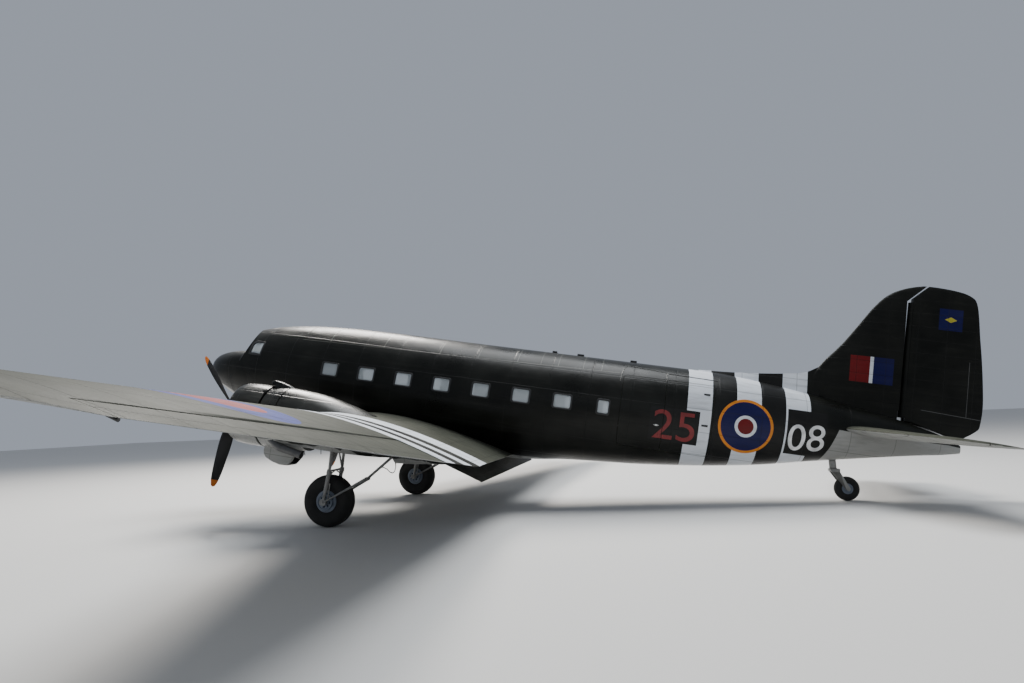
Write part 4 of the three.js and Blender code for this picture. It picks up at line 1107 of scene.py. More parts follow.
tail = {
    "fin": [  # height, leading edge, trailing edge, thickness
        (0.66, 16.9, 19.08, 0.2), (0.8, 16.5, 19.27, 0.23), (0.94, 16.2, 19.4, 0.26),
        (1.43, 15.75, 19.44, 0.27), (1.91, 15.96, 19.41, 0.255), (2.51, 16.42, 19.35, 0.225),
        (3.01, 16.745, 19.285, 0.2), (3.6, 17.14, 19.215, 0.165), (3.83, 17.39, 19.15, 0.14),
        (3.96, 17.65, 18.96, 0.11), (4.03, 17.88, 18.64, 0.07), (4.06, 18.03, 18.34, 0.04),
    ],
    "rudderHinge": 17.835, "finEdge": 17.705, "rudderTop": 3.66, "slope": 0.98, "foot": 0.96,
    "noseFoot": 0.112, "noseTop": 0.078, "slot": 0.048,
    "dorsal": [(13.25, 1.492, 0.04), (14.03, 1.53, 0.05), (15.14, 1.64, 0.062), (15.64, 1.725, 0.07),
               (16.0, 1.93, 0.07)],
    "plane": [  # distance out, leading edge, trailing edge, height, rise, thickness
        (0.15, 16.4, 18.66, 0.53, 0, 0.226), (3.1, 17.16, 18.56, 0.53, 0, 0.126),
        (3.75, 17.4, 18.44, 0.53, 0, 0.083), (4.0, 17.62, 18.24, 0.53, 0, 0.043),
        (4.06, 17.82, 18.02, 0.53, 0, 0.012),
    ],
    "hinge": 17.72, "inner": 0.42, "slant": 0.42,
    "nose": [(0.42, 0.084), (3.1, 0.059), (3.75, 0.039), (3.96, 0.022)],
}


def finRings():
    rings = []
    for z, lead, trail, thick in smoothRows(tail["fin"], 0.2, 3):
        rings.append(foilRing(lead, trail, 0, 0, thick, 0, lambda y, x, z=z: Vector((x, y, z))))
    return rings


# Everything aft of a line and at least so far under the sloping gap at the fin's head
def behindRudder(name, front, drop):
    def slopeAt(y):
        return tail["rudderTop"] + (y - tail["finEdge"]) * tail["slope"] - drop
    return prism(name, [(front, 0.4), (19.7, 0.4), (19.7, slopeAt(19.7)), (front, slopeAt(front))],
                 "X", -0.5, 0.5)


def makeFin():
    loft = throughRings("fin", finRings(), 40)
    clean = copied(loft, "cleanFin")
    rudder = copied(loft, "rudder")
    gap, hinge = 0.008, tail["rudderHinge"]
    carve(rudder, behindRudder("block", hinge + 0.002, tail["slot"]), "INTERSECT")
    carve(rudder, bodyHull("cone", 13, fuselage["end"], 3.5 * gap))
    carve(rudder, roundBox("slot", (-0.06, 17.5, 0.4), (0.06, hinge + 0.4, tail["foot"]), 0))
    carve(rudder, rodBetween("nose", (0, hinge, tail["foot"]), (0, hinge, tail["rudderTop"] - 2 * gap),
                             tail["noseFoot"], tail["noseTop"], 32), "UNION")
    carve(loft, behindRudder("block", tail["finEdge"], 0))
    carve(loft, roundBox("foot", (-0.5, tail["finEdge"] - 0.03, 0), (0.5, 19.8, 1.1), 0))
    borrowNormals(clean, wing["reach"], loft, rudder)
    rings = []
    for y, top, half in smoothRows(tail["dorsal"], 0.15):
        low = bodyRow(y)[1] - 0.06
        ring = []
        for k in range(13):
            s = -1 + k / 6
            rise = (1 - abs(s) ** 1.6)
            ring.append(Vector((-half * 1.7 * math.copysign(abs(s) ** 1.5, s), y, low + (top - low) * rise)))
        rings.append(ring)
    ridge = throughRings("ridge", rings)
    return loft, rudder, ridge


def makeTailplane():
    rows = [tail["plane"][0], (1.6, *rowAt(tail["plane"], 1.6)[1:])]
    rows += [tuple(row) for row in smoothRows(tail["plane"][1:], 0.1, 4)]
    loft = wingLoft("tailplane", rows, 0)
    clean = copied(loft, "cleanPlane")
    elevator = copied(loft, "elevator")
    hinge, gap = tail["hinge"], 0.008
    slant = tail["inner"] + tail["slant"] * (18.9 - hinge)
    outline = [(tail["inner"], hinge + 0.004), (4.2, hinge + 0.004), (4.2, 18.9), (slant, 18.9)]
    carve(elevator, prism("block", outline, "Z", 0, 1), "INTERSECT")
    carve(loft, prism("block", [(0, hinge - 0.001), (4.2, hinge - 0.001), (4.2, 18.9), (0, 18.9)], "Z", 0, 1))
    for (x0, r0), (x1, r1) in zip(tail["nose"], tail["nose"][1:]):
        ends = ((x0, hinge, 0.53), (x1, hinge, 0.53))
        carve(elevator, rodBetween("nose", *ends, r0, r1, 32), "UNION")
        carve(loft, rodBetween("slot", *ends, r0 + gap, r1 + gap, 32))
    carve(loft, roundBox("end", (0.2, hinge - 0.092, 0.4), (0.45, hinge, 0.7), 0))
    carve(loft, roundBox("end", (3.9, hinge - 0.035, 0.4), (4.2, hinge, 0.7), 0))
    borrowNormals(clean, wing["reach"], loft, elevator)
    return loft, elevator


fin, rudder, ridge = makeFin()
settle(joined("fin", [fin, ridge]), "fin_and_ridge", "airframe", "olive_paint", paintFin, ("fin",))
settle(rudder, "rudder_skin", "rudder", "olive_paint", paintFin, ("rudder",))
plane, elevator = makeTailplane()
settlePair(plane, "tailplane_skin", "airframe", "olive_paint", paintTailplane, "tailplane_{}")
settlePair(elevator, "elevator_skin", "elevators", "olive_paint", paintTailplane, "elevator_{}")
print("tail done")


# Power plants, modelled about the port engine

power = {
    "out": 2.82, "up": -0.985, "round": 96, "front": 3.15, "cowlFront": 3.0, "station": 2.8,
    "nacelle": [  # aft, top, bottom, half width
        (3.8, -0.312, -1.668, 0.668), (4.22, -0.275, -1.69, 0.69), (5.0, -0.33, -1.602, 0.68),
        (5.5, -0.425, -1.602, 0.655), (6.1, -0.575, -1.596, 0.59), (6.7, -0.75, -1.58, 0.49),
        (7.3, -0.92, -1.52, 0.37), (8.02, -1.11, -1.42, 0.2),
    ],
    "groove": (4.185, 4.217, 0.024), "well": ((2.46, 4.85, -2.2), (3.18, 6.95, -1.28)),
    "scoop": [  # aft, half width, top, base
        (3.7, 0.11, -0.176, -0.262), (3.715, 0.12, -0.164, -0.262), (3.77, 0.125, -0.158, -0.262),
        (3.811, 0.125, -0.16, -0.262), (3.813, 0.125, -0.16, -0.42), (3.95, 0.118, -0.185, -0.42),
        (4.1, 0.104, -0.225, -0.42), (4.22, 0.085, -0.27, -0.42), (4.33, 0.05, -0.345, -0.42),
    ],
    "cowl": [  # radius, distance aft of the lip
        (0.56, 0.06), (0.562, 0.04), (0.572, 0.016), (0.588, 0.002), (0.605, 0), (0.622, 0.008),
        (0.638, 0.026), (0.655, 0.06), (0.672, 0.115), (0.685, 0.18), (0.694, 0.26), (0.699, 0.36),
        (0.7, 0.45), (0.698, 0.6), (0.694, 0.765), (0.67, 0.765), (0.67, 0.42), (0.655, 0.25), (0.622, 0.13),
        (0.58, 0.085), (0.56, 0.06),
    ],
    "case": [(0, -0.2195), (0.062, -0.2195), (0.07, -0.16), (0.11, -0.1), (0.15, -0.02), (0.17, 0),
             (0.22, 0.03), (0.245, 0.08), (0.25, 0.12), (0.25, 0.6495), (0, 0.6495)],
    "cooler": [(3.83, -1.5), (3.812, -1.735), (3.83, -1.82), (3.89, -1.89), (4.06, -1.96), (4.25, -2.0),
               (4.47, -1.99), (4.56, -1.86), (4.66, -1.56), (4.66, -1.5)],
    "coolerOutlet": [(4.3, -1.9), (4.42, -1.955), (4.9, -1.955), (4.9, -1.59), (4.35, -1.59)],
    "exhaust": [(0.42, 4.05, -1.42), (0.5, 4.4, -1.58), (0.53, 4.95, -1.66)],  # out from the engine, aft, up
    "hub": [(0, -0.255), (0.03, -0.252), (0.054, -0.24), (0.066, -0.22), (0.08, -0.19), (0.087, -0.165),
            (0.088, -0.09), (0.1, -0.082), (0.116, -0.07), (0.12, -0.055), (0.12, 0.055), (0.116, 0.07),
            (0.09, 0.086), (0.07, 0.09), (0.07, 0.13), (0, 0.13)],
    "blade": [  # distance out, chord, thickness, blade angle
        (0.09, 0.12, 0.11, 60), (0.2, 0.122, 0.106, 56), (0.3, 0.155, 0.085, 50), (0.45, 0.24, 0.062, 44),
        (0.8, 0.29, 0.042, 34), (1.2, 0.27, 0.028, 26), (1.56, 0.21, 0.018, 22), (1.68, 0.15, 0.013, 20.5),
        (1.73, 0.1, 0.01, 20), (1.753, 0.035, 0.006, 20),
    ],
    "bladeAngles": (40.7, 160.7, 280.7),
}
enginePlace = Vector((power["out"], 0, power["up"]))


# Cuts a hollow whose walls take the piece's second, dark paint: painted shade inside the opening
def carveDark(piece, cutter):
    for block in (piece, cutter):
        while len(block.data.materials) < 2:
            block.data.materials.append(paintDarkAndShade)
    cutter.data.polygons.foreach_set("material_index", [1] * len(cutter.data.polygons))
    carve(piece, cutter)


def ovalRound(y, top, bottom, half, grow=0):
    middle, tall = (top + bottom) / 2, (top - bottom) / 2
    turns = [2 * math.pi * k / power["round"] for k in range(power["round"])]
    return [Vector((power["out"] + (half + grow) * math.cos(turn), y,
                    middle + (tall + grow) * math.sin(turn)))
            for turn in turns]


def makeNacelle():
    start, end, deep = power["groove"]
    rows = smoothRows(power["nacelle"], 0.12)
    rings = [ovalRound(*row) for row in rows if row[0] < start - 0.01]
    for y, sink in ((start, 0), (start + 0.001, deep), (end - 0.001, deep), (end, 0)):
        rings.append(ovalRound(*rowAt(rows, y), -sink))
    rings += [ovalRound(*row) for row in rows if row[0] > end + 0.01]
    nacelle = throughRings("nacelle", rings, 40)
    rings = []
    for y, half, top, base in power["scoop"]:
        ring = [Vector((power["out"] - half, y, base)), Vector((power["out"] + half, y, base))]
        for k in range(15):
            turn = math.pi * k / 14
            side = math.copysign(abs(math.cos(turn)) ** 0.45, math.cos(turn))
            ring.append(Vector((power["out"] + half * side, y,
                                base + (top - base) * (0.25 + 0.75 * math.sin(turn) ** 0.45))))
        rings.append(ring)
    carve(nacelle, throughRings("scoop", rings, 40), "UNION")
    carveDark(nacelle, roundBox("mouth", (power["out"] - 0.1, 3.5, -0.25),
                                (power["out"] + 0.1, 3.79, -0.178), 0.02))
    carveDark(nacelle, roundBox("well", *power["well"], 0))
    return nacelle


def makeNacelleFittings():
    out, up = power["out"], power["up"]
    pieces = [rodBetween("mast", (out, 3.655, -0.27), (out, 3.625, -0.06), 0.007, 0.004, 10)]
    for turn in (math.radians(55), math.radians(125)):
        way = Vector((math.cos(turn), 0, math.sin(turn)))
        foot = Vector((out, 3.74, up)) + way * 0.685
        pieces.append(rodBetween("bulge", foot, foot + way * 0.045, 0.055, 0.03, 20))
    pieces.append(roundBox("lid", (out + 0.33, 6.02, -0.78), (out + 0.39, 6.16, -0.74), 0.012))
    return joined("fittings", pieces)


def makeExhaust():
    start, bend, end = [Vector((power["out"] + out, y, z)) for out, y, z in power["exhaust"]]
    pipe = rodBetween("exhaust", start, bend, 0.075, 0.085, 32)
    tailPipe = rodBetween("exhaustTail", bend + (start - bend) * 0.06, end, 0.088, 0.082, 32)
    bore = rodBetween("bore", bend + (end - bend) * 0.3, end + (end - bend) * 0.2, 0.074, 0.074, 32)
    pipe = joined("exhaust", [pipe, tailPipe])
    carveDark(pipe, bore)
    return pipe


def makeCowling():
    centre = enginePlace + Vector((0, power["cowlFront"], 0))
    return turned("cowling", power["cowl"], centre, power["round"], "Y", 40, False)


def finnedCylinder():
    profile = [(0, 0.16), (0.075, 0.16), (0.075, 0.24)]
    for k in range(15):
        along = 0.25 + 0.013 * k
        profile += [(0.062, along), (0.062, along + 0.004), (0.08, along + 0.005), (0.08, along + 0.009)]
    for k in range(8):
        along = 0.455 + 0.015 * k
        profile += [(0.07, along), (0.07, along + 0.004), (0.088, along + 0.005), (0.088, along + 0.011)]
    profile += [(0.07, 0.58), (0.04, 0.6), (0, 0.604)]
    barrel = turned("cylinder", profile, (0, 0, 0), 20, "Z", 30)
    boxes = [roundBox("rocker", (x - 0.022, -0.075, 0.53), (x + 0.022, -0.02, 0.612), 0.012)
             for x in (-0.045, 0.045)]
    rods = [rodBetween("pushrod", (x * 0.6, -0.13, 0.2), (x, -0.06, 0.545), 0.009, 0.009, 10)
            for x in (-0.05, 0.05)]
    return joined("cylinder", [barrel, *boxes, *rods])


def makeEngine():
    centre = enginePlace + Vector((0, power["front"], 0))
    pieces = [turned("case", power["case"], centre, 48, "Y", 40),
              turned("baffle", [(0.2, 0.33), (0.6695, 0.33), (0.6695, 0.36), (0.2, 0.36), (0.2, 0.33)],
                     centre, 64, "Y", 40, False)]
    original = finnedCylinder()
    for row, along in ((0, 0.115), (1, 0.24)):
        for k in range(7):
            turn = 2 * math.pi * (k + row / 2) / 7
            twin = copied(original, "cylinder")
            place = Matrix.Translation(centre + Vector((0, along, 0)))
            twin.data.transform(place @ Matrix.Rotation(turn, 4, "Y"))
            pieces.append(twin)
    bpy.data.objects.remove(original, do_unlink=True)
    clearSelection()
    bpy.ops.mesh.primitive_torus_add(location=centre, rotation=(math.pi / 2, 0, 0), major_segments=64,
                                     minor_segments=10, major_radius=0.235, minor_radius=0.014)
    ring = bpy.context.object
    bpy.ops.object.transform_apply(location=True, rotation=True, scale=True)
    bpy.ops.object.shade_smooth()
    pieces.append(ring)
    for k in range(14):
        turn = 2 * math.pi * (k + 0.25) / 14
        way = Vector((math.sin(turn), 0, math.cos(turn)))
        pieces.append(rodBetween("lead", centre + way * 0.235, centre + way * 0.5 + Vector((0, 0.06, 0)),
                                 0.007, 0.007, 8))
    return joined("engine", pieces)


def makePropeller():
    centre = enginePlace + Vector((0, power["station"], 0))
    pieces = [turned("hub", power["hub"], centre, 48, "Y", 40)]
    for angle in power["bladeAngles"]:
        turn = math.radians(angle)
        outward = Vector((math.cos(turn), 0, math.sin(turn)))
        around = Vector((-math.sin(turn), 0, math.cos(turn)))
        rings = []
        for out, chord, thick, pitch in smoothRows(power["blade"], 0.05, 3):
            lean = math.radians(pitch)
            ring = []
            for k in range(28):
                way = 2 * math.pi * k / 28
                along = chord / 2 * math.cos(way)
                proud = thick / 2 * math.sin(way) * (1 if math.sin(way) > 0 or out < 0.3 else 0.6)
                shift = Vector((0, -along * math.sin(lean) - proud * math.cos(lean), 0))
                ring.append(centre + outward * out + shift
                            + around * (along * math.cos(lean) - proud * math.sin(lean)))
            rings.append(ring)
        pieces.append(throughRings("blade", rings, 50))
        pieces.append(rodBetween("socket", centre + outward * 0.07, centre + outward * 0.17, 0.074, 0.07, 32))
        pieces.append(rodBetween("clamp", centre + outward * 0.17, centre + outward * 0.2, 0.067, 0.064, 32))
    return joined("propeller", pieces)


def makeCooler():
    out = power["out"]
    duct = prism("cooler", power["cooler"], "X", out - 0.2, out + 0.2)
    applyNew(duct, "BEVEL", width=0.035, segments=3, angle_limit=math.radians(50))
    carveDark(duct, roundBox("intake", (out - 0.15, 3.7, -1.9), (out + 0.15, 4.05, -1.73), 0.03))
    carveDark(duct, prism("outlet", power["coolerOutlet"], "X", out - 0.16, out + 0.16))
    return duct


builders = {
    "nacelle": (makeNacelle, "olive_paint", paintNacelle, True),
    "cowling": (makeCowling, "olive_paint", paintNacelle, True),
    "engine": (makeEngine, "engine_metal", paintEngine, True),
    "oil_cooler": (makeCooler, "grey_paint", paintGrey, True),
    "nacelle_fittings": (makeNacelleFittings, "olive_paint", paintNacelle, False),
    "exhaust": (makeExhaust, "engine_metal", paintEngine, False),
}
for name, (build, slotName, paint, stands) in builders.items():
    piece = build()
    paints = [paint, paintDarkAndShade] if len(piece.data.materials) > 1 else paint
    settlePair(piece, name + "_skin" if stands else name, "airframe", slotName, paints,
               name + "_{}" if stands else "")
propeller = makePropeller()
twin = copied(propeller, "propeller")
twin.data.transform(Matrix.Translation((-2 * power["out"], 0, 0)))
settle(twin, "propeller_blades_right", "propeller_right", "propeller_black", paintBlades[-1],
       ("propeller_right",))
settle(propeller, "propeller_blades_left", "propeller_left", "propeller_black", paintBlades[1],
       ("propeller_left",))
print("power plants done")


# Landing gear

gear = {
    "out": 2.82, "axle": (5.51, -2.607), "legOut": 0.3, "head": (5.515, -1.42), "collar": (5.54, -1.925),
    "linkFoot": (5.535, -2.04), "knee": (6.31, -2.0), "kneeOut": 0.11, "dragHead": (6.85, -1.4),
    "tubeOut": 0.055,
    "tyre": [(0.222, 0.12), (0.236, 0.15), (0.27, 0.172), (0.32, 0.197), (0.37, 0.212), (0.42, 0.2155),
             (0.46, 0.207), (0.5, 0.187), (0.53, 0.158), (0.55, 0.122), (0.561, 0.084), (0.5654, 0.056),
             (0.5592, 0.053), (0.5592, 0.045), (0.5662, 0.042), (0.5666, 0.022), (0.5604, 0.019),
             (0.5604, 0.011), (0.5666, 0.008)],
    "hub": [(0.043, 0.235), (0.05, 0.235), (0.055, 0.222), (0.15, 0.222), (0.158, 0.235), (0.175, 0.235),
            (0.18, 0.228), (0.18, 0.17), (0.2, 0.158), (0.232, 0.163), (0.24, 0.156), (0.241, 0.13)],
    "holes": 8, "holeAt": 0.103,
    "hose": [(6.6, -1.676), (6.67, -1.692), (6.755, -1.712), (6.83, -1.768), (6.89, -1.778), (6.935, -1.735),
             (6.945, -1.64), (6.925, -1.54), (6.912, -1.42)], "hoseRadius": 0.01,
    "wellHalf": 0.3597, "drains": [((4.64, -1.5), (4.744, -1.728)), ((5.09, -1.45), (5.124, -1.645))],
    "tailTyre": [(0.11, 0.05), (0.125, 0.074), (0.16, 0.092), (0.19, 0.099), (0.22, 0.092), (0.248, 0.07),
                 (0.265, 0.04), (0.2735, 0.016), (0.2746, 0.008)],
    "tailHub": [(0.027, 0.094), (0.042, 0.094), (0.046, 0.07), (0.095, 0.052), (0.102, 0.07), (0.12, 0.07),
                (0.121, 0.04)],
    "tailAxle": (16.8, -0.82),
}


def wheelPart(name, half, centre, sides, angle=35):
    far = [(r, -along) for r, along in reversed(half)]
    return turned(name, half + far + [half[0]], centre, sides, "X", angle, False)


def makeMainWheel():
    centre = Vector((gear["out"], *gear["axle"]))
    tyre = wheelPart("tyre", gear["tyre"], centre, 96, 30)
    hub = wheelPart("hub", gear["hub"], centre, 72, 40)
    holes = []
    for k in range(gear["holes"]):
        turn = 2 * math.pi * k / gear["holes"]
        place = centre + Vector((0, gear["holeAt"] * math.cos(turn), gear["holeAt"] * math.sin(turn)))
        for side in (1, -1):
            holes.append(rodBetween("hole", place + Vector((side * 0.14, 0, 0)),
                                    place + Vector((side * 0.3, 0, 0)), 0.027))
            bolt = centre + Vector((0, 0.216 * math.cos(turn + 0.2), 0.216 * math.sin(turn + 0.2)))
            nut = rodBetween("nut", bolt + Vector((side * 0.155, 0, 0)), bolt + Vector((side * 0.172, 0, 0)),
                             0.009, sides=6)
            hub = joined("hub", [hub, nut])
    carve(hub, joined("holes", holes))
    return tyre, hub


# Both legs with their braces, and the drag strut: its arms pass the tyre and meet at a knee
def makeLegs():
    g = gear

    def at(dx, place):
        return Vector((g["out"] + dx, *place))
    axle, out = g["axle"], g["legOut"]
    rods = []
    for s in (1, -1):
        head, collar, foot = at(s * out, g["head"]), at(s * out, g["collar"]), at(s * out, axle)
        down = (foot - collar).normalized()
        gland = collar + down * 0.42
        rods += [
            rodBetween("tube", head, collar, 0.033),
            rodBetween("collar", collar - down * 0.03, collar + down * 0.09, 0.052),
            rodBetween("band", collar + down * 0.02, collar + down * 0.045, 0.057),
            rodBetween("cylinder", collar, gland, 0.045, 0.043),
            rodBetween("gland", gland, gland + down * 0.045, 0.049),
            rodBetween("piston", gland, foot, 0.034),
            rodBetween("boss", foot - Vector((0.034, 0, 0)), foot + Vector((0.034, 0, 0)), 0.075, sides=40),
            rodBetween("cap", foot + Vector((s * 0.03, 0, 0)), foot + Vector((s * 0.046, 0, 0)),
                       0.045, 0.04, 32),
            rodBetween("nut", foot + Vector((s * 0.04, 0, 0)), foot + Vector((s * 0.06, 0, 0)),
                       0.024, sides=6),
            rodBetween("link", at(s * out, (5.6, -2.2)), at(s * out, (5.605, -2.56)), 0.011),
            rodBetween("linkEnd", at(s * out, (5.53, -2.2)), at(s * out, (5.61, -2.2)), 0.014),
            rodBetween("brace", at(0, g["head"]), collar, 0.019),
            rodBetween("shortLink", at(0, g["collar"]), at(s * out, g["linkFoot"]), 0.015),
        ]
        start, end = at(s * (out + 0.03), (axle[0] + 0.04, axle[1] + 0.02)), at(s * g["kneeOut"], g["knee"])
        middle = start.lerp(end, 0.56)
        rods += [
            rodBetween("arm", start, middle, 0.021, 0.023), rodBetween("arm", middle, end, 0.023, 0.032),
            rodBetween("armEnd", start - (end - start).normalized() * 0.02,
                       start + (end - start).normalized() * 0.05, 0.03),
            rodBetween("dragTube", at(s * g["tubeOut"], g["knee"]),
                       at(s * g["tubeOut"], g["dragHead"]), 0.019),
            rodBetween("eye", at(s * g["tubeOut"] - 0.02, g["knee"]), at(s * g["tubeOut"] + 0.02, g["knee"]),
                       0.042, sides=32),
        ]
    bars = ((g["head"], g["wellHalf"], 0.039), (g["collar"], out, 0.023), (axle, out + 0.02, 0.04),
            (g["knee"], g["kneeOut"], 0.028), (g["dragHead"], g["wellHalf"], 0.031))
    for place, half, r in bars:
        rods.append(rodBetween("bar", at(-half, place), at(half, place), r))
    for k in range(3):
        spot = at(0, g["knee"]).lerp(at(0, g["dragHead"]), 0.25 + 0.27 * k)
        rods.append(roundBox("clip", spot - Vector((0.08, 0.012, 0.012)),
                             spot + Vector((0.08, 0.012, 0.012)), 0.004))
    hose = [at(g["tubeOut"], place) for place in g["hose"]]
    rods += [rodBetween("hose", a, b, g["hoseRadius"], sides=12) for a, b in zip(hose, hose[1:])]
    first, second = hose[:2]
    for share in (0, 0.5):
        ends = (first.lerp(second, share), first.lerp(second, share + 0.3))
        rods.append(rodBetween("hoseEnd", *ends, g["hoseRadius"] * 1.5))
    return joined("legs", rods)


def makeDrains():
    out = gear["out"]
    return joined("drains", [rodBetween("drain", (out, *head), (out, *foot), 0.008)
                             for head, foot in gear["drains"]])


settlePair(makeLegs(), "gear_legs", "airframe", "gear_paint", paintSteel, "gear_leg_{}")
settlePair(makeDrains(), "nacelle_drains", "airframe", "gear_paint", paintDarkAndShade)
tyre, hub = makeMainWheel()
settlePair(tyre, "main_tyre", "main_wheel_{}", "tyre", paintTyre, "main_wheel_{}")
settlePair(hub, "main_hub", "main_wheel_{}", "gear_paint", paintHub)

tailCentre = levelToGround @ Vector((0, *gear["tailAxle"]))
dress(wheelPart("tyre", gear["tailTyre"], tailCentre, 72, 30), "tail_tyre", "tail_wheel", "tyre", paintTyre,
      ("tail_wheel",))
dress(wheelPart("hub", gear["tailHub"], tailCentre, 48, 40), "tail_hub", "tail_wheel", "gear_paint", paintHub)
dress(smoothNode("tail_fork", "fork"), "tail_fork_skin", "tail_fork", "gear_paint", paintSteel,
      ("tail_fork",))
dress(smoothNode("tail_post", "post"), "tail_post_skin", "airframe", "gear_paint", paintSteel, ("tail_post",))
print("gear done")


# Cockpit and cabin

seat = {
    "out": 0.44, "floor": -0.5, "pan": (2.0, 2.44, -0.14), "wide": 0.43, "backFoot": (2.43, -0.08),
    "backHead": (2.55, 0.56), "cushion": 0.085,
}
panel = {
    "aft": 1.46, "dials": [(0.16, 0.28), (0.3, 0.28), (0.44, 0.28), (0.58, 0.26), (0.16, 0.14), (0.3, 0.14),
                           (0.44, 0.14), (0.58, 0.12), (0.72, 0.14), (0.0, 0.28), (0.0, 0.14)],
    "radius": 0.052,
}


def softBlock(name, low, high, crown):
    pad = roundBox(name, low, high, 0.03)
    low, high = Vector(low), Vector(high)
    editAll(pad)
    bpy.ops.mesh.subdivide(number_cuts=5)
    bpy.ops.object.mode_set(mode="OBJECT")
    middle, half = (low + high) / 2, (high - low) / 2
    thin = min(range(3), key=lambda k: half[k])
    wide = [k for k in range(3) if k != thin]
    for v in pad.data.vertices:
        share = [abs(v.co[k] - middle[k]) / half[k] for k in wide]
        swell = (1 - share[0] ** 2.5) * (1 - share[1] ** 2.5)
        side = v.co[thin] - middle[thin]
        v.co[thin] += math.copysign(crown * swell, side)
        seam = 1 if abs(side) < 0.01 else 0
        for k in wide:
            v.co[k] -= 0.006 * seam * (v.co[k] - middle[k]) / half[k]
    applyNew(pad, "SUBSURF", levels=2, render_levels=2)
    editAll(pad)
    endEdit(60)
    return pad


# A back cushion leans: its upright block is sheared aft
def leaned(pad, foot, slope):
    for v in pad.data.vertices:
        v.co.y += (v.co.z - foot) * slope
    return pad


for side, label in ((1, "left"), (-1, "right")):
    x, wide, deep = side * seat["out"], seat["wide"] / 2, seat["cushion"]
    front, back, up = seat["pan"]
    (by, bz), (hy, hz) = seat["backFoot"], seat["backHead"]
    slope = (hy - by) / (hz - bz)
    tray = roundBox("tray", (x - wide, front, up - 0.03), (x + wide, back, up + 0.04), 0.015)
    carve(tray, roundBox("dish", (x - wide + 0.015, front + 0.015, up - 0.012),
                         (x + wide - 0.015, back + 0.1, up + 0.2), 0))
    rear = leaned(roundBox("rear", (x - wide, by - 0.01, bz), (x + wide, by + 0.014, hz), 0.01), bz, slope)
    frameParts = [tray, rear]
    for dx in (-1, 1):
        for y in (front + 0.06, back - 0.05):
            foot = (x + dx * (wide - 0.03), y, seat["floor"] + 0.001)
            frameParts.append(rodBetween("leg", foot, (x + dx * (wide - 0.06), y, up - 0.02), 0.014))
        frameParts.append(roundBox("rail", (x + dx * (wide - 0.03) - 0.02, front, seat["floor"] + 0.0005),
                                   (x + dx * (wide - 0.03) + 0.02, back, seat["floor"] + 0.02), 0.004))
        rest = (x + dx * wide, by + 0.04, bz + 0.2)
        frameParts.append(rodBetween("armrest", rest, (x + dx * wide, by - 0.26, bz + 0.19), 0.018))
    settle(joined("seatFrame", frameParts), "pilot_seat_frame_" + label, "airframe",
           "seat_leather", paintBench, ("pilot_seat_" + label,))
    pad = softBlock("cushion", (x - wide + 0.02, front + 0.02, up),
                    (x + wide - 0.02, back - 0.02, up + deep), 0.02)
    low, high = (x - wide + 0.02, by - deep, bz + 0.07), (x + wide - 0.02, by - 0.012, hz - 0.03)
    backPad = leaned(softBlock("backCushion", low, high, 0.018), bz, slope)
    for block, name in ((pad, "seat_cushion_"), (backPad, "back_cushion_")):
        settle(block, name + label, "airframe", "seat_leather", paintSeat)
    column = [rodBetween("column", (x, 1.72, seat["floor"]), (x, 1.78, 0.1), 0.022),
              rodBetween("shaft", (x, 1.78, 0.1), (x, 1.84, 0.12), 0.02)]
    turns = [math.radians(t) for t in range(-220, 41, 20)]
    grip = [(x + 0.15 * math.cos(turn), 1.845, 0.13 + 0.15 * math.sin(turn)) for turn in turns]
    column += [rodBetween("grip", a, b, 0.014) for a, b in zip(grip, grip[1:])]
    column += [rodBetween("spoke", (x, 1.842, 0.12), grip[k], 0.011) for k in (2, 11)]
    settle(joined("column", column), "control_column_" + label, "airframe", "panel_black", paintDarkAndShade)

dialRings, dialFaces = [], []
for across, up in panel["dials"]:
    for side in ((1, -1) if across else (1,)):
        centre = (side * across, panel["aft"], up)
        r = panel["radius"]
        bezel = [(r - 0.008, 0.002), (r - 0.008, 0.009), (r, 0.009), (r + 0.004, 0.0005)]
        face = [(0.0005, 0.002), (r - 0.008, 0.002), (r - 0.008, 0.0045), (0.0005, 0.0045)]
        dialRings.append(turned("bezel", bezel, centre, 32, closeEnds=False))
        dialFaces.append(turned("face", face, centre, 32))
settle(joined("bezels", dialRings), "dial_bezels", "airframe", "panel_black", paintPale)
settle(joined("faces", dialFaces), "dial_faces", "airframe", "panel_black", paintDarkAndShade)
for node, paint in (("cabin_floor", paintFloor), ("cockpit_bulkhead", paintCabin), ("bench_left", paintBench),
                    ("bench_right", paintBench), ("instrument_panel", paintPanel)):
    nodes[node].data.materials.clear()
    nodes[node].data.materials.append(paint)
print("inside done")


# Small fittings and numerals

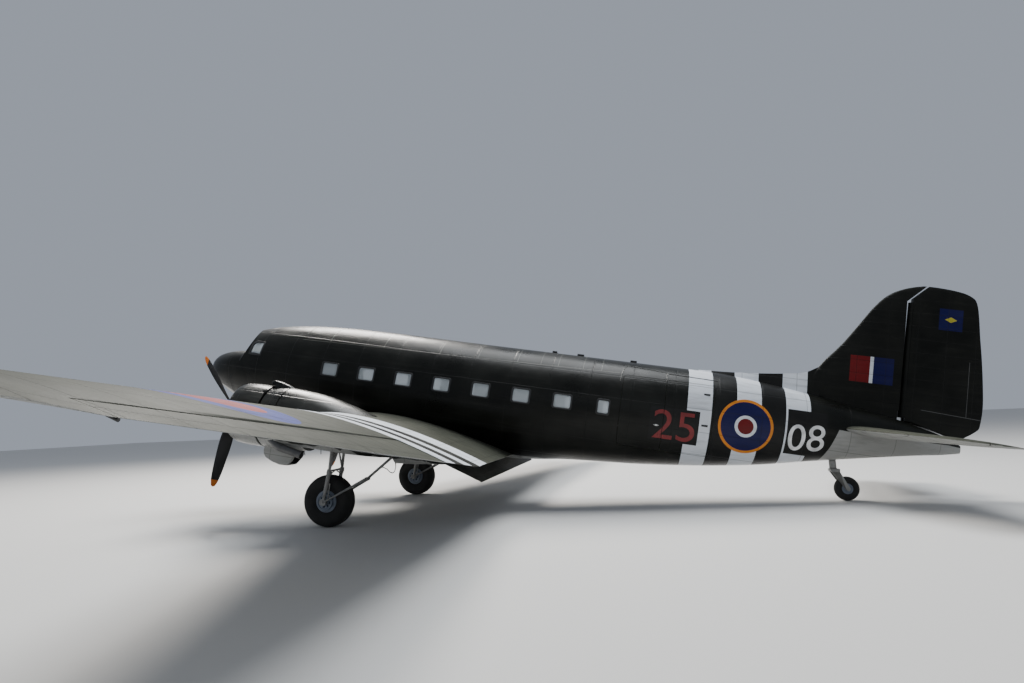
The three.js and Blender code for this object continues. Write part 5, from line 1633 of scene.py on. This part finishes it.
fittings = {
    "roofBlocks": [(9.67, 0.06), (10.34, 0.085), (11.67, 0.08)], "lip": 0.008,
    "lipTop": [(11.43, 0.925), (11.455, 1.15), (11.5, 1.27), (11.56, 1.335), (12.0, 1.305), (12.497, 1.272),
               (12.494, 1.16), (12.49, 1.06)],
    "gutter": [(12.53, 1.254), (13.1, 1.24), (13.655, 1.225)],
    "jumpDoor": (11.61, 12.39, -0.4, 1.03, 0.12),
    "jumpStrip": [(-0.009, -0.003), (-0.006, 0.004), (0.006, 0.004), (0.009, -0.003)],
    "handle": (12.356, 0.026), "doorHinges": [(13.42, 0.867), (13.42, 0.157)],
    "hatch": [(2.07, 0.2), (2.06, 0.5), (2.05, 0.72), (2.6, 0.8), (3.14, 0.86), (3.15, 0.5), (3.15, 0.2)],
    "brackets": [(6.62, 8.78), (9.7, 8.85), (12.8, 8.93)], "lamp": (14.5, 8.36, 0.02), "pitot": (0.22, 1.15),
    "numeralProud": 0.003, "frontNumeral": ("25", 12.29, 13.22, -0.27, 0.4, 0.0),
    "rearNumeral": ("08", 15.27, 16.07, -0.13, 0.46, 0.087),
    "lampShape": [(0.001, 0.05), (0.014, 0.045), (0.024, 0.028), (0.028, 0.0), (0.024, -0.03),
                  (0.001, -0.06)],
}


def hullSpot(y, z, side=1, proud=0.0):
    return Vector((side * (hullOut(y, z) + proud), y, z))


def roofSpot(y, x):
    _, top, bottom, half, _, middle = bodyRow(y)
    return Vector((x, y, middle + (top - middle) * math.sqrt(1 - (x / half) ** 2)))


def stripAlong(name, spots, radius):
    return joined(name, [rodBetween("part", a, b, radius, sides=10) for a, b in zip(spots, spots[1:])])


# Plain numbers, laid on the side of the hull
def numeral(side, text, front, back, low, high, rise):
    clearSelection()
    bpy.ops.object.text_add()
    words = bpy.context.object
    words.data.body = text
    bpy.ops.object.convert(target="MESH")
    plate = bpy.context.object
    xs = [v.co.x for v in plate.data.vertices]
    ys = [v.co.y for v in plate.data.vertices]
    left, right, foot, head = min(xs), max(xs), min(ys), max(ys)
    for v in plate.data.vertices:
        v.co = Vector(((v.co.x - left) / (right - left), (v.co.y - foot) / (head - foot), 0))
    editAll(plate)
    for k in range(1, 14):
        bpy.ops.mesh.select_all(action="SELECT")
        bpy.ops.mesh.bisect(plane_co=(0, k / 14, 0), plane_no=(0, 1, 0))
    bpy.ops.object.mode_set(mode="OBJECT")
    for v in plate.data.vertices:
        share = v.co.x if side > 0 else 1 - v.co.x
        y = front + share * (back - front)
        z = low + v.co.y * (high - low) + rise * (y - front)
        v.co = hullSpot(y, z, side, fittings["numeralProud"])
    applyNew(plate, "SOLIDIFY", thickness=0.002)
    return plate


paintPort = plainPaint("portLens", (0.35, 0.01, 0.01), 0.2)
paintStarboard = plainPaint("starboardLens", (0.01, 0.2, 0.06), 0.2)
g = fittings
blocks = [roundBox("block", (-0.05, y - half, 1.45), (0.05, y + half, 1.52), 0.012)
          for y, half in g["roofBlocks"]]
settle(joined("blocks", blocks), "roof_blocks", "airframe", "olive_paint", paintDarkAndShade)
lips = [stripAlong("lip", [hullSpot(y, z) for y, z in finely(g["lipTop"])], g["lip"])]
lips.append(stripAlong("hatch", [roofSpot(y, x) for y, x in finely(g["hatch"])], 0.006))
# The door lip and hatch outline take a paint lighter than the hull: painted highlight
settle(joined("lips", lips), "door_lip", "airframe", "olive_paint", paintLipHighlight)
gutter = stripAlong("gutter", [hullSpot(y, z) for y, z in finely(g["gutter"])], 0.011)
settle(gutter, "door_gutter", "airframe", "olive_paint", paintDarkAndShade)
jump = hullStrip("jumpDoor", roundedOutline(*g["jumpDoor"]), g["jumpStrip"])
settle(jump, "jump_door_edge", "cargo_door_front", "olive_paint", paintHull)
spot = hullSpot(*g["handle"])
handle = [roundBox("plate", spot - Vector((0.01, 0.03, 0.02)), spot + Vector((0.006, 0.03, 0.02)), 0.003),
          rodBetween("lever", spot + Vector((0.005, -0.06, 0.0)), spot + Vector((0.012, 0.06, 0.0)), 0.007)]
settle(joined("handle", handle), "door_handle", "cargo_door_front", "gear_paint", paintPale)
hinges = []
for y, z in g["doorHinges"]:
    spot = hullSpot(y, z)
    hinges.append(roundBox("hinge", spot - Vector((0.02, 0.07, 0.022)),
                           spot + Vector((0.014, 0.07, 0.022)), 0.005))
settle(joined("hinges", hinges), "door_hinge_straps", "cargo_door_rear", "olive_paint", paintDarkAndShade)
print("small fittings made")

for side, label in ((1, "left"), (-1, "right")):
    front = numeral(side, *g["frontNumeral"])
    if side > 0:
        rear = copied(front, "numeral")
        for half, way, letter, door in ((front, 1, "a", "front"), (rear, -1, "b", "rear")):
            sliced(half, (0, fuselage["doorSplit"] - way * 0.006, 0), (0, way, 0))
            settle(half, "front_numeral_left_" + letter, "cargo_door_" + door, "olive_paint", paintRedCode)
    else:
        settle(front, "front_numeral_right", "airframe", "olive_paint", paintRedCode)
    settle(numeral(side, *g["rearNumeral"]), "rear_numeral_" + label, "airframe", "olive_paint",
           paintWhiteCode)
    brackets = []
    for x, y in g["brackets"]:
        half, middle = wingPlace(x, y)
        foot = (side * x, y - 0.03, middle - half + 0.002)
        head = (side * x, y + 0.06, middle - half - 0.014)
        brackets.append(rodBetween("bracket", foot, head, 0.008, 0.014, 12))
    settle(joined("brackets", brackets), "aileron_brackets_" + label, "aileron_" + label,
           "olive_paint", paintDarkAndShade)
    x, y, z = g["lamp"]
    lamp = turned("lamp", g["lampShape"], (side * x, y, z), 24, "Y")
    settle(lamp, "tip_lamp_" + label, "airframe", "window_glass", paintPort if side > 0 else paintStarboard)
    x, y = g["pitot"]
    foot = rowAt(noseRows, y)[2]
    tube = [rodBetween("mast", (side * x, y, foot + 0.04), (side * x, y - 0.03, foot - 0.2),
                       0.016, 0.011, 16),
            rodBetween("tube", (side * x, y - 0.24, foot - 0.205), (side * x, y + 0.03, foot - 0.2),
                       0.009, 0.012, 16)]
    settle(joined("pitot", tube), "pitot_" + label, "airframe", "grey_paint", paintPale)
print("numerals laid")


# Floor, light and camera

floor = {"size": 240, "colour": (0.62, 0.61, 0.59)}
clearSelection()
bpy.ops.mesh.primitive_plane_add(size=floor["size"])
ground = bpy.context.object
ground.name = "floor"
groundPaint = bpy.data.materials.new("paleFloor")
groundPaint.use_nodes = True
groundShader = groundPaint.node_tree.nodes["Principled BSDF"]
groundShader.inputs["Base Color"].default_value = (*floor["colour"], 1)
groundShader.inputs["Roughness"].default_value = 0.9
ground.data.materials.append(groundPaint)

world = bpy.data.worlds.get("World") or bpy.data.worlds.new("World")
bpy.context.scene.world = world
world.use_nodes = True
sky = {"Color": (0.78, 0.86, 1.0, 1), "Strength": 0.42}
for label, value in sky.items():
    world.node_tree.nodes["Background"].inputs[label].default_value = value


def softLight(name, place, size, power, colour):
    bpy.ops.object.light_add(type="AREA", location=place)
    lamp = bpy.context.object
    lamp.name = name
    lamp.rotation_euler = (Vector((0, 0, 2)) - Vector(place)).to_track_quat("-Z", "Y").to_euler()
    lamp.data.shape = "DISK"
    lamp.data.size = size
    lamp.data.energy = power
    lamp.data.color = colour


lamps = [  # name, place, size, power, colour
    ("sunSide", (-16, -14, 26), 12, 14000, (1.0, 0.96, 0.9)),
    ("overhead", (-4, 2, 30), 22, 11000, (0.95, 0.98, 1.0)),
    ("nearFill", (30, 6, 12), 18, 400, (0.95, 0.97, 1.0)),
]
for lamp in lamps:
    softLight(*lamp)

view = {
    "place": (15.944, 1.9947, 2.2095), "ahead": (-0.97447, -0.18896, 0.12126),
    "up": (0.11089, 0.06458, 0.99173), "lens": 22.0,
}
bpy.ops.object.camera_add(location=view["place"])
camera = bpy.context.object
ahead = Vector(view["ahead"]).normalized()
right = ahead.cross(Vector(view["up"])).normalized()
upward = right.cross(ahead)
turn = Matrix((right, upward, -ahead)).transposed().to_4x4()
camera.matrix_world = Matrix.Translation(view["place"]) @ turn
camera.data.lens = view["lens"]
camera.data.sensor_width = 36
camera.data.clip_end = 400
bpy.context.scene.camera = camera
print("stage set")
